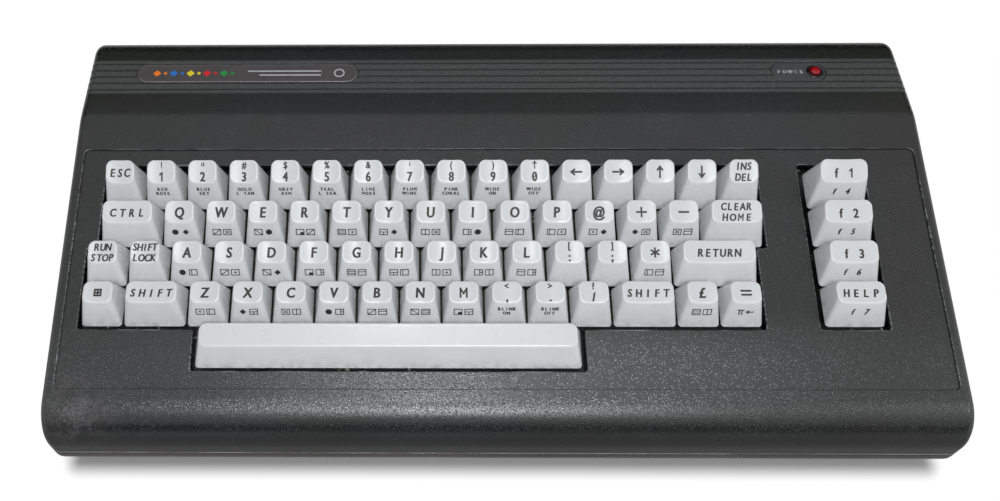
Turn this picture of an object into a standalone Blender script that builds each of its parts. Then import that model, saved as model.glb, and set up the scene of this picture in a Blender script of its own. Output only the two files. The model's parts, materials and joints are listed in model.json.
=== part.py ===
import math

import bmesh
import bpy
from mathutils import Matrix, Vector

# Lengths are metres. X runs along the keyboard, +Y is the back and +Z is up.
# Heights are over the surface that the four feet stand on.

# Case
case_height = 0.0685
left_border = 0.0190
right_border = 0.0331
front_border = 0.0286
back_border = 0.0310
seam_height = 0.0165
wall = 0.0026
clearance = 0.0003
deck_slope = math.radians(11)
crease_from_back = 0.0528
nose_radius = 0.019
back_radius = 0.011
base_front_radius = 0.0105
base_back_radius = 0.006
edge_radius = 0.0045
edge_segments = 3
overrun = 0.002

# Sunk deck inside the rim
deck_recess = 0.0009
deck_below_keys = 0.0003
deck_rim_width = 0.0058
deck_back_from_crease = 0.0187
deck_front_from_front = 0.0200

# Ribbed band
rib_pitch = 0.0042
rib_groove_width = 0.0010
rib_groove_depth = 0.0010
rib_groove_drop = 0.0065
rib_groove_count = 5
first_groove_from_back = 0.0196

# Keyboard, laid out in shares of the key pitch along X and in rows up the slope
key_pitch = 0.01905
plain_share = 1
wide_share = 1.5
return_share = 2
space_bar_share = 9
function_share = 1.43
home_row_shift_share = -0.25
space_bar_start_share = 2.5
function_column_share = 17.17
row_count = 5
key_gap = 0.0009
key_travel = 0.0038
key_wall = 0.0014
key_side_setback = 0.0026
key_front_setback = 0.0075
key_back_setback = 0.0003
key_dish = 0.0006
key_dish_steps = 4
stem_width = 0.0054
stem_reach = 0.0145
link_bar_width = 0.0030
link_bar_height = 0.0014
link_bar_lift = 0.0006
row_1_front_height = 0.0134
row_1_back_height = 0.0168
row_2_front_height = 0.0118
row_2_back_height = 0.0140
row_3_front_height = 0.0108
row_3_back_height = 0.0124
row_4_front_height = 0.0118
row_4_back_height = 0.0116
bar_front_height = 0.0085
bar_back_height = 0.0098
well_side_margin = 0.0017
well_front_margin = 0.0007
well_back_margin = 0.0041
function_well_left_margin = 0.0012
function_well_right_margin = 0.0024

# Key frame and contact board, below the skirts
frame_drop = 0.0100
frame_plate = 0.0020
frame_rim = 0.0020
frame_side_margin = 0.0060
frame_end_margin = 0.0025
contact_board_thickness = 0.0016
frame_post_width = 0.0060
frame_back_post_share = 8
frame_front_post_shares = (1, 13.5)

# Levelling wire of the space bar
wire_diameter = 0.0016
wire_arm = 0.0105
wire_end_inset = 0.0070
wire_from_bar_end = 0.0117
wire_pivot_from_front = 0.0026
wire_slot_slack = 0.0005
lug_inset = 0.0040
lug_thickness = 0.0020
lug_width = 0.0052
lug_web = 0.0012
saddle_width = 0.0040
saddle_length = 0.0046
saddle_inset = 0.0180

# Badge and lamp
plate_height = 0.0119
plate_thickness = 0.0012
plate_rise = 0.0002
badge_length = 0.1108
badge_left_inset = 0.0249
plate_from_back = 0.0253
bezel_length = 0.0267
bezel_right_inset = 0.0382
lamp_offset = 0.0082
lamp_radius = 0.0027
lamp_body_length = 0.0085
holder_wall = 0.0009
holder_length = 0.0072

# Screws, feet and board posts
screw_inset = 0.0615
screw_from_front = 0.0180
screw_head_radius = 0.0032
screw_head_height = 0.0024
screw_shank_radius = 0.0015
screw_length = 0.0180
tower_radius = 0.0050
tower_head_depth = 0.0060
tower_height = 0.0120
boss_radius = 0.0042
boss_hole_depth = 0.0140
foot_radius = 0.0060
foot_height = 0.0030
foot_side_inset = 0.0300
foot_front_inset = 0.0240
foot_back_inset = 0.0160
board_post_radius = 0.0035
board_post_height = 0.0050
board_thickness = 0.0016
board_left_inset = 0.0360
board_front_from_front = 0.0620
board_edge_margin = 0.0010

# Sockets
port_setback = 0.0006
din_radius = 0.0066
din_depth = 0.0100
din_width = 0.0200
din_height = 0.0180
din_length = 0.0160
mini_radius = 0.0047
mini_depth = 0.0090
mini_width = 0.0140
mini_height = 0.0150
mini_length = 0.0130
port_hole_margin = 0.0020
rear_port_gap = 0.0164
socket_gap = 0.0004
side_first_from_back = 0.0260
side_gap = 0.0033
reset_gap = 0.0060
joystick_gap = 0.0087
expansion_length = 0.0600
expansion_height = 0.0130
expansion_body_length = 0.0120
expansion_slot_length = 0.0540
expansion_slot_height = 0.0030
expansion_slot_depth = 0.0080
expansion_setback = 0.0100
expansion_right_inset = 0.0850
modulator_width = 0.0460
modulator_length = 0.0360
modulator_height = 0.0220
modulator_gap = 0.0180
sleeve_radius = 0.0042
sleeve_bore = 0.0017
sleeve_length = 0.0026

# Switch, rocker and reset button
switch_length = 0.0240
switch_height = 0.0180
switch_body_depth = 0.0170
rocker_half_length = 0.0092
rocker_thickness = 0.0104
rocker_front = 0.0031
rocker_valley = 0.0020
rocker_back = 0.0040
rocker_tilt = math.radians(7)
rocker_setback = 0.0049
rocker_play = 0.0008
reset_radius = 0.0027
reset_length = 0.0120
reset_setback = 0.0006

# Parts on the main board
chip_height = 0.0040
processor_length = 0.0510
processor_width = 0.0140
video_length = 0.0600
video_width = 0.0160
chip_front_gap = 0.0100
chip_side_gap = 0.0080
sink_length = 0.0400
sink_width = 0.0140
sink_height = 0.0240
sink_fin = 0.0015
sink_fin_count = 5
sink_base = 0.0030
sink_right_inset = 0.0700
sink_from_back = 0.0450
ribbon_width = 0.0300
ribbon_thickness = 0.0008
ribbon_flat = 0.0080
ribbon_share = 8
lead_radius = 0.0012
lead_steps = 14
lead_bend_share = 1 / 3
lamp_steps = 16
lamp_dome_steps = 6
lamp_dome_share = 0.5
rocker_shoulder_share = 0.25
rocker_waist_share = 1 / 3
round_steps = 24
small_round_steps = 16

# Derived places
slope_cos = math.cos(deck_slope)
slope_sin = math.sin(deck_slope)
case_width = left_border + (function_column_share + function_share) * key_pitch + right_border
case_depth = front_border + (row_count * key_pitch + back_border) * slope_cos + crease_from_back
half_width = case_width / 2
half_depth = case_depth / 2
roof = wall + deck_recess
crease_y = half_depth - crease_from_back
rim_rise = deck_recess - deck_below_keys
bottom_row_from_crease = back_border + (row_count - 1) * key_pitch - key_pitch / 2
keys_y = crease_y - bottom_row_from_crease * slope_cos + rim_rise * slope_sin
keys_z = case_height - bottom_row_from_crease * slope_sin - rim_rise * slope_cos
block_left = -half_width + left_border
nose_room = case_height - (case_depth - crease_from_back) * math.tan(deck_slope) - seam_height
nose_share = 0.85
nose_fit = min(nose_radius, nose_share * nose_room)
row_front_heights = {1: row_1_front_height, 2: row_2_front_height, 3: row_3_front_height,
                     4: row_4_front_height, 5: bar_front_height}
row_back_heights = {1: row_1_back_height, 2: row_2_back_height, 3: row_3_back_height,
                    4: row_4_back_height, 5: bar_back_height}
base_z = foot_height
floor_z = base_z + wall
board_z = floor_z + board_post_height + clearance
board_top = board_z + board_thickness
port_z = board_top + clearance
inner_back = half_depth - roof
inner_right = half_width - roof
contact_w = -(stem_reach + key_travel + clearance)
plate_w = -frame_drop
bezel_x = half_width - bezel_right_inset - bezel_length / 2
badge_x = -half_width + badge_left_inset + badge_length / 2
plate_y = half_depth - plate_from_back
plate_top = case_height + plate_rise - rib_groove_depth / 2
lamp_x = bezel_x + lamp_offset
expansion_x = half_width - expansion_right_inset
modulator_x = expansion_x - expansion_length / 2 - modulator_gap - modulator_width / 2
wire_reach = space_bar_share * key_pitch / 2 - wire_from_bar_end

# The rows from the back: where each starts, and its keys with their lengths
row_starts = {1: 0, 2: 0, 3: home_row_shift_share, 4: home_row_shift_share, 5: space_bar_start_share}
row_keys = {
    1: [("key_escape", [plain_share]), ("number_keys", [plain_share] * 10), ("key_left", [plain_share]),
        ("key_right", [plain_share]), ("key_up", [plain_share]), ("key_down", [plain_share]),
        ("key_delete", [plain_share])],
    2: [("key_control", [wide_share]), ("upper_letters_left", [plain_share] * 5),
        ("upper_letters_right", [plain_share] * 8), ("key_home", [wide_share])],
    3: [("key_stop", [plain_share]), ("key_shift_lock", [plain_share]),
        ("home_letters_left", [plain_share] * 5), ("home_letters_right", [plain_share] * 7),
        ("key_return", [return_share])],
    4: [("key_symbol", [plain_share]), ("key_shift_left", [wide_share]),
        ("lower_letters", [plain_share] * 10), ("key_shift_right", [wide_share]),
        ("key_pound", [plain_share]), ("key_equals", [plain_share])],
    5: [("space_bar", [space_bar_share])],
}
function_keys = {1: "key_f1", 2: "key_f2", 3: "key_f3", 4: "key_help"}


def clear_scene():
    for obj in list(bpy.data.objects):
        bpy.data.objects.remove(obj)


def finish(name, colour, roughness, metallic=0.0):
    material = bpy.data.materials.new(name)
    material.use_nodes = True
    shader = material.node_tree.nodes["Principled BSDF"]
    shader.inputs["Base Color"].default_value = (*colour, 1.0)
    shader.inputs["Roughness"].default_value = roughness
    shader.inputs["Metallic"].default_value = metallic
    return material


def add_object(name, solid, material=None, parent=None, location=(0, 0, 0), rotation=(0, 0, 0)):
    bmesh.ops.recalc_face_normals(solid, faces=solid.faces)
    mesh = bpy.data.meshes.new(name)
    solid.to_mesh(mesh)
    solid.free()
    if material:
        mesh.materials.append(material)
    obj = bpy.data.objects.new(name, mesh)
    bpy.context.scene.collection.objects.link(obj)
    obj.parent = parent
    obj.location = location
    obj.rotation_euler = rotation
    return obj


def settle(obj):
    bpy.context.view_layer.update()
    graph = bpy.context.evaluated_depsgraph_get()
    mesh = bpy.data.meshes.new_from_object(obj.evaluated_get(graph), depsgraph=graph)
    obj.modifiers.clear()
    obj.data = mesh


def combine(obj, operation, solid, frame=None):
    tool = add_object("tool", solid)
    tool.parent = frame
    tool.hide_render = True
    tool.display_type = "WIRE"
    modifier = obj.modifiers.new("combine", "BOOLEAN")
    modifier.operation = operation
    modifier.solver = "EXACT"
    modifier.object = tool
    settle(obj)
    bpy.data.objects.remove(tool)


def box(solid, low, high):
    corners = bmesh.ops.create_cube(solid, size=1)["verts"]
    for vert in corners:
        for axis in range(3):
            vert.co[axis] = high[axis] if vert.co[axis] > 0 else low[axis]
    return solid


def cylinder(solid, radius, start, end, steps=round_steps):
    start, end = Vector(start), Vector(end)
    turn = (end - start).to_track_quat("Z", "Y").to_matrix().to_4x4()
    place = Matrix.Translation((start + end) / 2) @ turn
    bmesh.ops.create_cone(solid, cap_ends=True, segments=steps, radius1=radius, radius2=radius,
                          depth=(end - start).length, matrix=place)
    return solid


def prism(solid, outline, low, high, axes):
    # The outline runs in the first two axes and is drawn out along the third
    rings = []
    for level in (low, high):
        ring = []
        for point in outline:
            place = [0.0, 0.0, 0.0]
            place[axes[0]] = point[0]
            place[axes[1]] = point[1]
            place[axes[2]] = level
            ring.append(solid.verts.new(place))
        rings.append(ring)
    solid.faces.new(rings[0])
    solid.faces.new(rings[1])
    count = len(outline)
    for index in range(count):
        following = (index + 1) % count
        solid.faces.new((rings[0][index], rings[0][following], rings[1][following], rings[1][index]))
    return solid


def arc(centre, radius, start, end, steps):
    points = []
    for index in range(steps + 1):
        angle = start + (end - start) * index / steps
        points.append((centre[0] + radius * math.cos(angle), centre[1] + radius * math.sin(angle)))
    return points


def stadium(centre, length, height, steps=10):
    reach = length / 2 - height / 2
    right = arc((centre[0] + reach, centre[1]), height / 2, -math.pi / 2, math.pi / 2, steps)
    left = arc((centre[0] - reach, centre[1]), height / 2, math.pi / 2, 3 * math.pi / 2, steps)
    return right + left


def unit_x(share):
    return block_left + share * key_pitch


def row_groups(row):
    # The name, the start and the key lengths of each node in a row
    groups = []
    start = row_starts[row]
    for name, lengths in row_keys[row]:
        groups.append((name, start, lengths))
        start += sum(lengths)
    if row in function_keys:
        groups.append((function_keys[row], function_column_share, [function_share]))
    return groups


def row_end(row):
    return row_starts[row] + sum(sum(lengths) for name, lengths in row_keys[row])


def row_v(row):
    return (row_count - 1 - row) * key_pitch


def rim_height(y):
    return case_height + (y - crease_y) * math.tan(deck_slope)


def upper_outline(inset):
    nose_y = -half_depth + nose_fit
    nose_z = rim_height(nose_y) - nose_fit / slope_cos
    back = (half_depth - back_radius, case_height - back_radius)
    points = [(-half_depth + inset, seam_height)]
    points += arc((nose_y, nose_z), nose_fit - inset, math.pi, math.pi / 2 + deck_slope, 9)
    points.append((crease_y + inset * math.tan(deck_slope / 2), case_height - inset))
    points += arc(back, back_radius - inset, math.pi / 2, 0, 6)
    points.append((half_depth - inset, seam_height))
    return points


def lower_outline(inset, top):
    front = (-half_depth + base_front_radius, base_z + base_front_radius)
    back = (half_depth - base_back_radius, base_z + base_back_radius)
    points = [(-half_depth + inset, top)]
    points += arc(front, base_front_radius - inset, math.pi, 3 * math.pi / 2, 7)
    points += arc(back, base_back_radius - inset, 3 * math.pi / 2, 2 * math.pi, 4)
    points.append((half_depth - inset, top))
    return points


def round_ends(solid, open_height):
    # Rounds the two ends of a shell, all but the edge along the parting line
    edges = []
    for edge in solid.edges:
        first, second = edge.verts
        at_end = abs(abs(first.co.x) - half_width) < clearance and abs(first.co.x - second.co.x) < clearance
        on_seam = abs(first.co.z - open_height) < clearance and abs(second.co.z - open_height) < clearance
        if at_end and not on_seam:
            edges.append(edge)
    bmesh.ops.bevel(solid, geom=edges, offset=edge_radius, offset_type="OFFSET", segments=edge_segments,
                    profile=0.5, affect="EDGES", clamp_overlap=False)
    bmesh.ops.triangulate(solid, faces=solid.faces)
    return solid


def groove_outline(depth):
    # A groove goes over the roof and part of the way down both sides
    radius = edge_radius - depth
    reach = half_width - edge_radius
    bottom = case_height - rib_groove_drop
    centre_z = case_height - edge_radius
    points = [(-half_width + depth, bottom)]
    points += arc((-reach, centre_z), radius, math.pi, math.pi / 2, edge_segments)
    points += arc((reach, centre_z), radius, math.pi / 2, 0, edge_segments)
    points.append((half_width - depth, bottom))
    points.append((half_width + overrun, bottom))
    points.append((half_width + overrun, case_height + overrun))
    points.append((-half_width - overrun, case_height + overrun))
    points.append((-half_width - overrun, bottom))
    return points


def main_well_outline():
    side = well_side_margin
    front_4 = row_v(4) - key_pitch / 2 - well_front_margin
    front_5 = row_v(5) - key_pitch / 2 - well_front_margin
    middle = (row_v(2) + row_v(3)) / 2
    back = row_v(1) + key_pitch / 2 + well_back_margin
    left, right = {}, {}
    for row in (1, 4, 5):
        left[row] = unit_x(row_starts[row]) - side
        right[row] = unit_x(row_end(row)) + side
    return [
        (left[4], front_4), (left[5], front_4), (left[5], front_5), (right[5], front_5), (right[5], front_4),
        (right[4], front_4), (right[4], middle), (right[1], middle), (right[1], back), (left[1], back),
        (left[1], middle), (left[4], middle),
    ]


def function_well_outline():
    left = unit_x(function_column_share) - function_well_left_margin
    right = unit_x(function_column_share + function_share) + function_well_right_margin
    front = row_v(4) - key_pitch / 2 - well_front_margin
    back = row_v(1) + key_pitch / 2 + well_back_margin
    return [(left, front), (right, front), (right, back), (left, back)]


def screw_places():
    y = -half_depth + screw_from_front
    reach = half_width - screw_inset
    return {"case_screw_left": (-reach, y), "case_screw_middle": (0.0, y), "case_screw_right": (reach, y)}


def board_post_places():
    low_x = -half_width + board_left_inset + board_post_radius * 2
    high_x = inner_right - board_edge_margin - board_post_radius * 2
    low_y = -half_depth + board_front_from_front + board_post_radius * 2
    high_y = inner_back - board_edge_margin - board_post_radius * 2
    return [(x, y) for x in (low_x, (low_x + high_x) / 2, high_x) for y in (low_y, high_y)]


def rear_ports():
    # The name, centre x and kind of each round socket at the back
    video = modulator_x - modulator_width / 2 - rear_port_gap - din_width / 2
    serial = video - din_width - socket_gap
    cassette = serial - (din_width + mini_width) / 2 - socket_gap
    return [("video_port", video, "din"), ("serial_port", serial, "din"), ("cassette_port", cassette, "mini")]


def side_ports():
    # The centre y of everything on the right side, from the back
    socket = half_depth - side_first_from_back
    switch = socket - din_width / 2 - side_gap - switch_length / 2
    button = switch - switch_length / 2 - reset_gap - reset_radius
    joystick = button - reset_radius - joystick_gap - mini_width / 2
    return {"power_socket": socket, "power_switch": switch, "reset_button": button,
            "joystick_port_1": joystick, "joystick_port_2": joystick - mini_width - socket_gap}


def port_sizes(kind):
    if kind == "din":
        return din_radius, din_depth, din_width, din_height, din_length
    return mini_radius, mini_depth, mini_width, mini_height, mini_length


def port_openings():
    # Every hole that the sockets and switches need through the two shells
    solid = bmesh.new()
    # The three rear sockets share one cut-out, and so do the two for joysticks
    wide = din_radius + port_hole_margin
    narrow = mini_radius + port_hole_margin
    middle = port_z + din_height / 2
    places = {name: x for name, x, kind in rear_ports()}
    box(solid, (places["cassette_port"] - narrow, inner_back - overrun, middle - wide),
        (places["video_port"] + wide, half_depth + overrun, middle + wide))
    box(solid, (expansion_x - expansion_length / 2 - port_hole_margin, inner_back - overrun, port_z),
        (expansion_x + expansion_length / 2 + port_hole_margin, half_depth + overrun,
         port_z + expansion_height + port_hole_margin))
    sleeve_z = port_z + modulator_height / 2
    cylinder(solid, sleeve_radius + port_hole_margin, (modulator_x, inner_back - overrun, sleeve_z),
             (modulator_x, half_depth + overrun, sleeve_z))
    places = side_ports()
    box(solid, (inner_right - overrun, places["power_socket"] - wide, middle - wide),
        (half_width + overrun, places["power_socket"] + wide, middle + wide))
    middle = port_z + mini_height / 2
    box(solid, (inner_right - overrun, places["joystick_port_2"] - narrow, middle - narrow),
        (half_width + overrun, places["joystick_port_1"] + narrow, middle + narrow))
    switch_z = port_z + switch_height / 2
    reach = rocker_half_length + rocker_play
    half = rocker_thickness / 2 + clearance
    box(solid, (inner_right - overrun, places["power_switch"] - reach, switch_z - half),
        (half_width + overrun, places["power_switch"] + reach, switch_z + half))
    cylinder(solid, reset_radius + clearance, (inner_right - overrun, places["reset_button"], switch_z),
             (half_width + overrun, places["reset_button"], switch_z))
    return solid


def frame_extent():
    low_x = unit_x(home_row_shift_share) - frame_side_margin
    high_x = unit_x(function_column_share + function_share) + frame_side_margin
    low_v = row_v(5) - key_pitch / 2 - frame_end_margin
    high_v = row_v(1) + key_pitch / 2 + frame_end_margin + well_back_margin
    return low_x, high_x, low_v, high_v


def frame_post_places():
    low_x, high_x, low_v, high_v = frame_extent()
    back = high_v - frame_post_width / 2
    front = row_v(4) - key_pitch / 2 - well_front_margin - frame_post_width
    left = low_x + frame_post_width / 2
    between = unit_x((row_end(1) + function_column_share) / 2)
    places = [(left, back), (unit_x(frame_back_post_share), back), (between, back), (between, front)]
    return places + [(unit_x(share), front) for share in frame_front_post_shares]


def build_upper_case(plastic, keyboard):
    solid = prism(bmesh.new(), upper_outline(0), -half_width, half_width, (1, 2, 0))
    case = add_object("upper_case", round_ends(solid, seam_height), plastic)

    grooves = bmesh.new()
    for index in range(rib_groove_count):
        y = half_depth - first_groove_from_back - index * rib_pitch
        prism(grooves, groove_outline(rib_groove_depth), y - rib_groove_width / 2, y + rib_groove_width / 2,
              (0, 2, 1))
    combine(case, "DIFFERENCE", grooves)

    inner = bmesh.new()
    outline = upper_outline(roof)
    outline[0] = (outline[0][0], seam_height - overrun)
    outline[-1] = (outline[-1][0], seam_height - overrun)
    prism(inner, outline, -inner_right, inner_right, (1, 2, 0))
    hollow = add_object("hollow", inner)
    bosses = bmesh.new()
    for x, y in screw_places().values():
        cylinder(bosses, boss_radius, (x, y, base_z + tower_height + clearance), (x, y, case_height))
    combine(hollow, "DIFFERENCE", bosses)
    posts = bmesh.new()
    half = frame_post_width / 2
    for x, v in frame_post_places():
        box(posts, (x - half, v - half, plate_w + clearance), (x + half, v + half, frame_drop))
    combine(hollow, "DIFFERENCE", posts, keyboard)
    cut_away = bmesh.new()
    cut_away.from_mesh(hollow.data)
    bpy.data.objects.remove(hollow)
    combine(case, "DIFFERENCE", cut_away)

    deck = bmesh.new()
    deck_front = (deck_front_from_front - half_depth - keys_y) / slope_cos
    deck_back = bottom_row_from_crease - deck_back_from_crease
    box(deck, (-half_width + deck_rim_width, deck_front, -deck_below_keys),
        (half_width - deck_rim_width, deck_back, overrun + rim_rise))
    combine(case, "DIFFERENCE", deck, keyboard)
    wells = bmesh.new()
    prism(wells, main_well_outline(), -roof - overrun, overrun, (0, 1, 2))
    prism(wells, function_well_outline(), -roof - overrun, overrun, (0, 1, 2))
    combine(case, "DIFFERENCE", wells, keyboard)

    plates = bmesh.new()
    margin = 2 * clearance
    low = plate_top - plate_thickness - clearance
    prism(plates, stadium((badge_x, plate_y), badge_length + margin, plate_height + margin), low,
          case_height + overrun, (0, 1, 2))
    prism(plates, stadium((bezel_x, plate_y), bezel_length + margin, plate_height + margin), low,
          case_height + overrun, (0, 1, 2))
    combine(case, "DIFFERENCE", plates)
    lamp_hole = bmesh.new()
    cylinder(lamp_hole, lamp_radius + holder_wall + 2 * clearance,
             (lamp_x, plate_y, case_height - roof - overrun), (lamp_x, plate_y, case_height + overrun))
    combine(case, "DIFFERENCE", lamp_hole)

    pilots = bmesh.new()
    for x, y in screw_places().values():
        start = base_z + tower_height
        cylinder(pilots, screw_shank_radius + clearance, (x, y, start - overrun),
                 (x, y, start + boss_hole_depth), small_round_steps)
    combine(case, "DIFFERENCE", pilots)
    combine(case, "DIFFERENCE", port_openings())
    return case


def build_lower_case(plastic):
    top = seam_height - clearance
    solid = prism(bmesh.new(), lower_outline(0, top), -half_width, half_width, (1, 2, 0))
    case = add_object("lower_case", round_ends(solid, top), plastic)
    inner = prism(bmesh.new(), lower_outline(wall, top + overrun), -half_width + wall, half_width - wall,
                  (1, 2, 0))
    hollow = add_object("hollow", inner)
    posts = bmesh.new()
    for x, y in screw_places().values():
        cylinder(posts, tower_radius, (x, y, base_z), (x, y, base_z + tower_height))
    for x, y in board_post_places():
        cylinder(posts, board_post_radius, (x, y, base_z), (x, y, floor_z + board_post_height),
                 small_round_steps)
    combine(hollow, "DIFFERENCE", posts)
    cut_away = bmesh.new()
    cut_away.from_mesh(hollow.data)
    bpy.data.objects.remove(hollow)
    combine(case, "DIFFERENCE", cut_away)
    holes = bmesh.new()
    for x, y in screw_places().values():
        cylinder(holes, screw_head_radius + clearance, (x, y, base_z - overrun),
                 (x, y, base_z + tower_head_depth), small_round_steps)
    combine(case, "DIFFERENCE", holes)
    shanks = bmesh.new()
    for x, y in screw_places().values():
        cylinder(shanks, screw_shank_radius + clearance, (x, y, base_z),
                 (x, y, base_z + tower_height + overrun), small_round_steps)
    combine(case, "DIFFERENCE", shanks)
    combine(case, "DIFFERENCE", port_openings())
    return case


def build_plates(plastic, badge_finish):
    low = plate_top - plate_thickness
    badge = prism(bmesh.new(), stadium((0, 0), badge_length, plate_height), 0, plate_thickness, (0, 1, 2))
    add_object("badge_plate", badge, badge_finish, location=(badge_x, plate_y, low))
    bezel = prism(bmesh.new(), stadium((0, 0), bezel_length, plate_height), 0, plate_thickness, (0, 1, 2))
    plate = add_object("led_bezel", bezel, plastic, location=(bezel_x, plate_y, low))
    hole = cylinder(bmesh.new(), lamp_radius + holder_wall + 2 * clearance, (lamp_x, plate_y, low - overrun),
                    (lamp_x, plate_y, case_height + overrun))
    combine(plate, "DIFFERENCE", hole)


def build_lamp(red, black):
    flange = plate_top + plate_rise
    bottom = flange - holder_length
    holder = cylinder(bmesh.new(), lamp_radius + holder_wall + clearance, (0, 0, 0), (0, 0, holder_length))
    ring = add_object("led_holder", holder, black, location=(lamp_x, plate_y, bottom))
    bore = cylinder(bmesh.new(), lamp_radius + clearance, (lamp_x, plate_y, bottom - overrun),
                    (lamp_x, plate_y, flange + overrun))
    combine(ring, "DIFFERENCE", bore)
    # A straight barrel under a round cap
    profile = []
    for step in range(1, lamp_dome_steps + 1):
        angle = step / lamp_dome_steps * math.pi / 2
        profile.append((lamp_radius * math.sin(angle), lamp_radius * lamp_dome_share * math.cos(angle)))
    lamp = bmesh.new()
    rings = []
    for radius, height in profile + [(lamp_radius, -lamp_body_length)]:
        ring_verts = []
        for step in range(lamp_steps):
            angle = step / lamp_steps * 2 * math.pi
            ring_verts.append(lamp.verts.new((radius * math.cos(angle), radius * math.sin(angle), height)))
        rings.append(ring_verts)
    lamp.faces.new(rings[0])
    lamp.faces.new(rings[-1])
    for upper, lower in zip(rings, rings[1:]):
        for step in range(lamp_steps):
            following = (step + 1) % lamp_steps
            lamp.faces.new((upper[step], upper[following], lower[following], lower[step]))
    add_object("power_led", lamp, red, location=(lamp_x, plate_y, flange))


def build_feet(rubber):
    for side, x in (("left", -half_width + foot_side_inset), ("right", half_width - foot_side_inset)):
        for end, y in (("front", -half_depth + foot_front_inset), ("back", half_depth - foot_back_inset)):
            foot = cylinder(bmesh.new(), foot_radius, (0, 0, 0), (0, 0, foot_height - clearance))
            add_object(f"foot_{end}_{side}", foot, rubber, location=(x, y, 0))


def build_screws(steel):
    head_top = base_z + tower_head_depth - clearance
    for name, (x, y) in screw_places().items():
        head = cylinder(bmesh.new(), screw_head_radius, (0, 0, -screw_head_height), (0, 0, 0),
                        small_round_steps)
        screw = add_object(name, head, steel, location=(x, y, head_top))
        shank = cylinder(bmesh.new(), screw_shank_radius, (x, y, head_top - screw_head_height / 2),
                         (x, y, head_top + screw_length), small_round_steps)
        combine(screw, "UNION", shank)


def keycap(solid, x, width, row):
    # A hollow cap with sloping sides and a dished top that falls to the front
    outer_x = width / 2
    outer_v = (key_pitch - key_gap) / 2
    top_x = outer_x - key_side_setback
    front_v = -outer_v + key_front_setback
    back_v = outer_v - key_back_setback
    front_w = row_front_heights[row]
    back_w = row_back_heights[row]
    dish = 0 if row == row_count else key_dish
    steps = 1 if row == row_count else key_dish_steps

    def ring(points):
        return [solid.verts.new((x + point[0], point[1], point[2])) for point in points]

    def across(v, w):
        points = []
        for step in range(steps + 1):
            side = 2 * step / steps - 1
            points.append((side * top_x, v, w - dish * (1 - side * side)))
        return points

    def rectangle(half_x, front, back, front_level, back_level):
        return [(-half_x, front, front_level), (half_x, front, front_level), (half_x, back, back_level),
                (-half_x, back, back_level)]

    bottom = ring(rectangle(outer_x, -outer_v, outer_v, 0, 0))
    front = ring(across(front_v, front_w))
    back = ring(across(back_v, back_w))
    rim = ring(rectangle(outer_x - key_wall, -outer_v + key_wall, outer_v - key_wall, 0, 0))
    ceiling_front = front_w - dish - key_wall
    ceiling_back = back_w - dish - key_wall
    ceiling = ring(rectangle(top_x - key_wall, front_v + key_wall, back_v - key_wall, ceiling_front,
                             ceiling_back))

    solid.faces.new([bottom[0], bottom[1], *reversed(front)])
    solid.faces.new([bottom[3], bottom[2], *reversed(back)])
    solid.faces.new([bottom[0], front[0], back[0], bottom[3]])
    solid.faces.new([bottom[1], front[-1], back[-1], bottom[2]])
    for step in range(steps):
        solid.faces.new([front[step], front[step + 1], back[step + 1], back[step]])
    for inner, outer in ((bottom, rim), (rim, ceiling)):
        for step in range(4):
            following = (step + 1) % 4
            solid.faces.new([inner[step], inner[following], outer[following], outer[step]])
    solid.faces.new(ceiling)


def plunger(solid, x, row):
    # A square stem that ends half a wall deep in the cap's front wall and roof
    outer_v = (key_pitch - key_gap) / 2
    half_stem = stem_width / 2
    dish = 0 if row == row_count else key_dish
    front = (-outer_v + key_front_setback + key_wall, row_front_heights[row] - dish - key_wall)
    back = (outer_v - key_back_setback - key_wall, row_back_heights[row] - dish - key_wall)
    outline = [(half_stem, -stem_reach), (-half_stem, -stem_reach)]
    if front[0] > -half_stem:
        share = (front[0] + half_stem) / key_front_setback
        outline.append((-half_stem, front[1] * (1 - share) + key_wall / 2))
        outline.append((front[0], front[1] + key_wall / 2))
    else:
        outline.append((-half_stem, front[1] + key_wall / 2))
    share = (half_stem - front[0]) / (back[0] - front[0])
    outline.append((half_stem, front[1] + share * (back[1] - front[1]) + key_wall / 2))
    prism(solid, outline, x - half_stem, x + half_stem, (1, 2, 0))


def build_keys(plastic, keyboard):
    for row in row_keys:
        for name, first, lengths in row_groups(row):
            centre = unit_x(first + sum(lengths) / 2)
            solid = bmesh.new()
            stems = bmesh.new()
            left = first
            for length in lengths:
                x = unit_x(left + length / 2) - centre
                keycap(solid, x, length * key_pitch - key_gap, row)
                plunger(stems, x, row)
                left += length
            key = add_object(name, solid, plastic, keyboard, (centre, row_v(row), 0))
            bpy.context.view_layer.update()
            combine(key, "UNION", stems, key)
            if len(lengths) > 1:
                reach = (sum(lengths) - 1) / 2 * key_pitch
                bar = box(bmesh.new(), (-reach, -link_bar_width / 2, link_bar_lift),
                          (reach, link_bar_width / 2, link_bar_lift + link_bar_height))
                combine(key, "UNION", bar, key)


def wire_places():
    pivot_v = row_v(5) - key_pitch / 2 + wire_pivot_from_front + wire_diameter / 2
    drop = key_travel / 2
    run = math.sqrt(wire_arm ** 2 - drop ** 2)
    end_w = -(wire_diameter / 2 + wire_diameter)
    return pivot_v, end_w - drop, pivot_v + run, end_w


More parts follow.
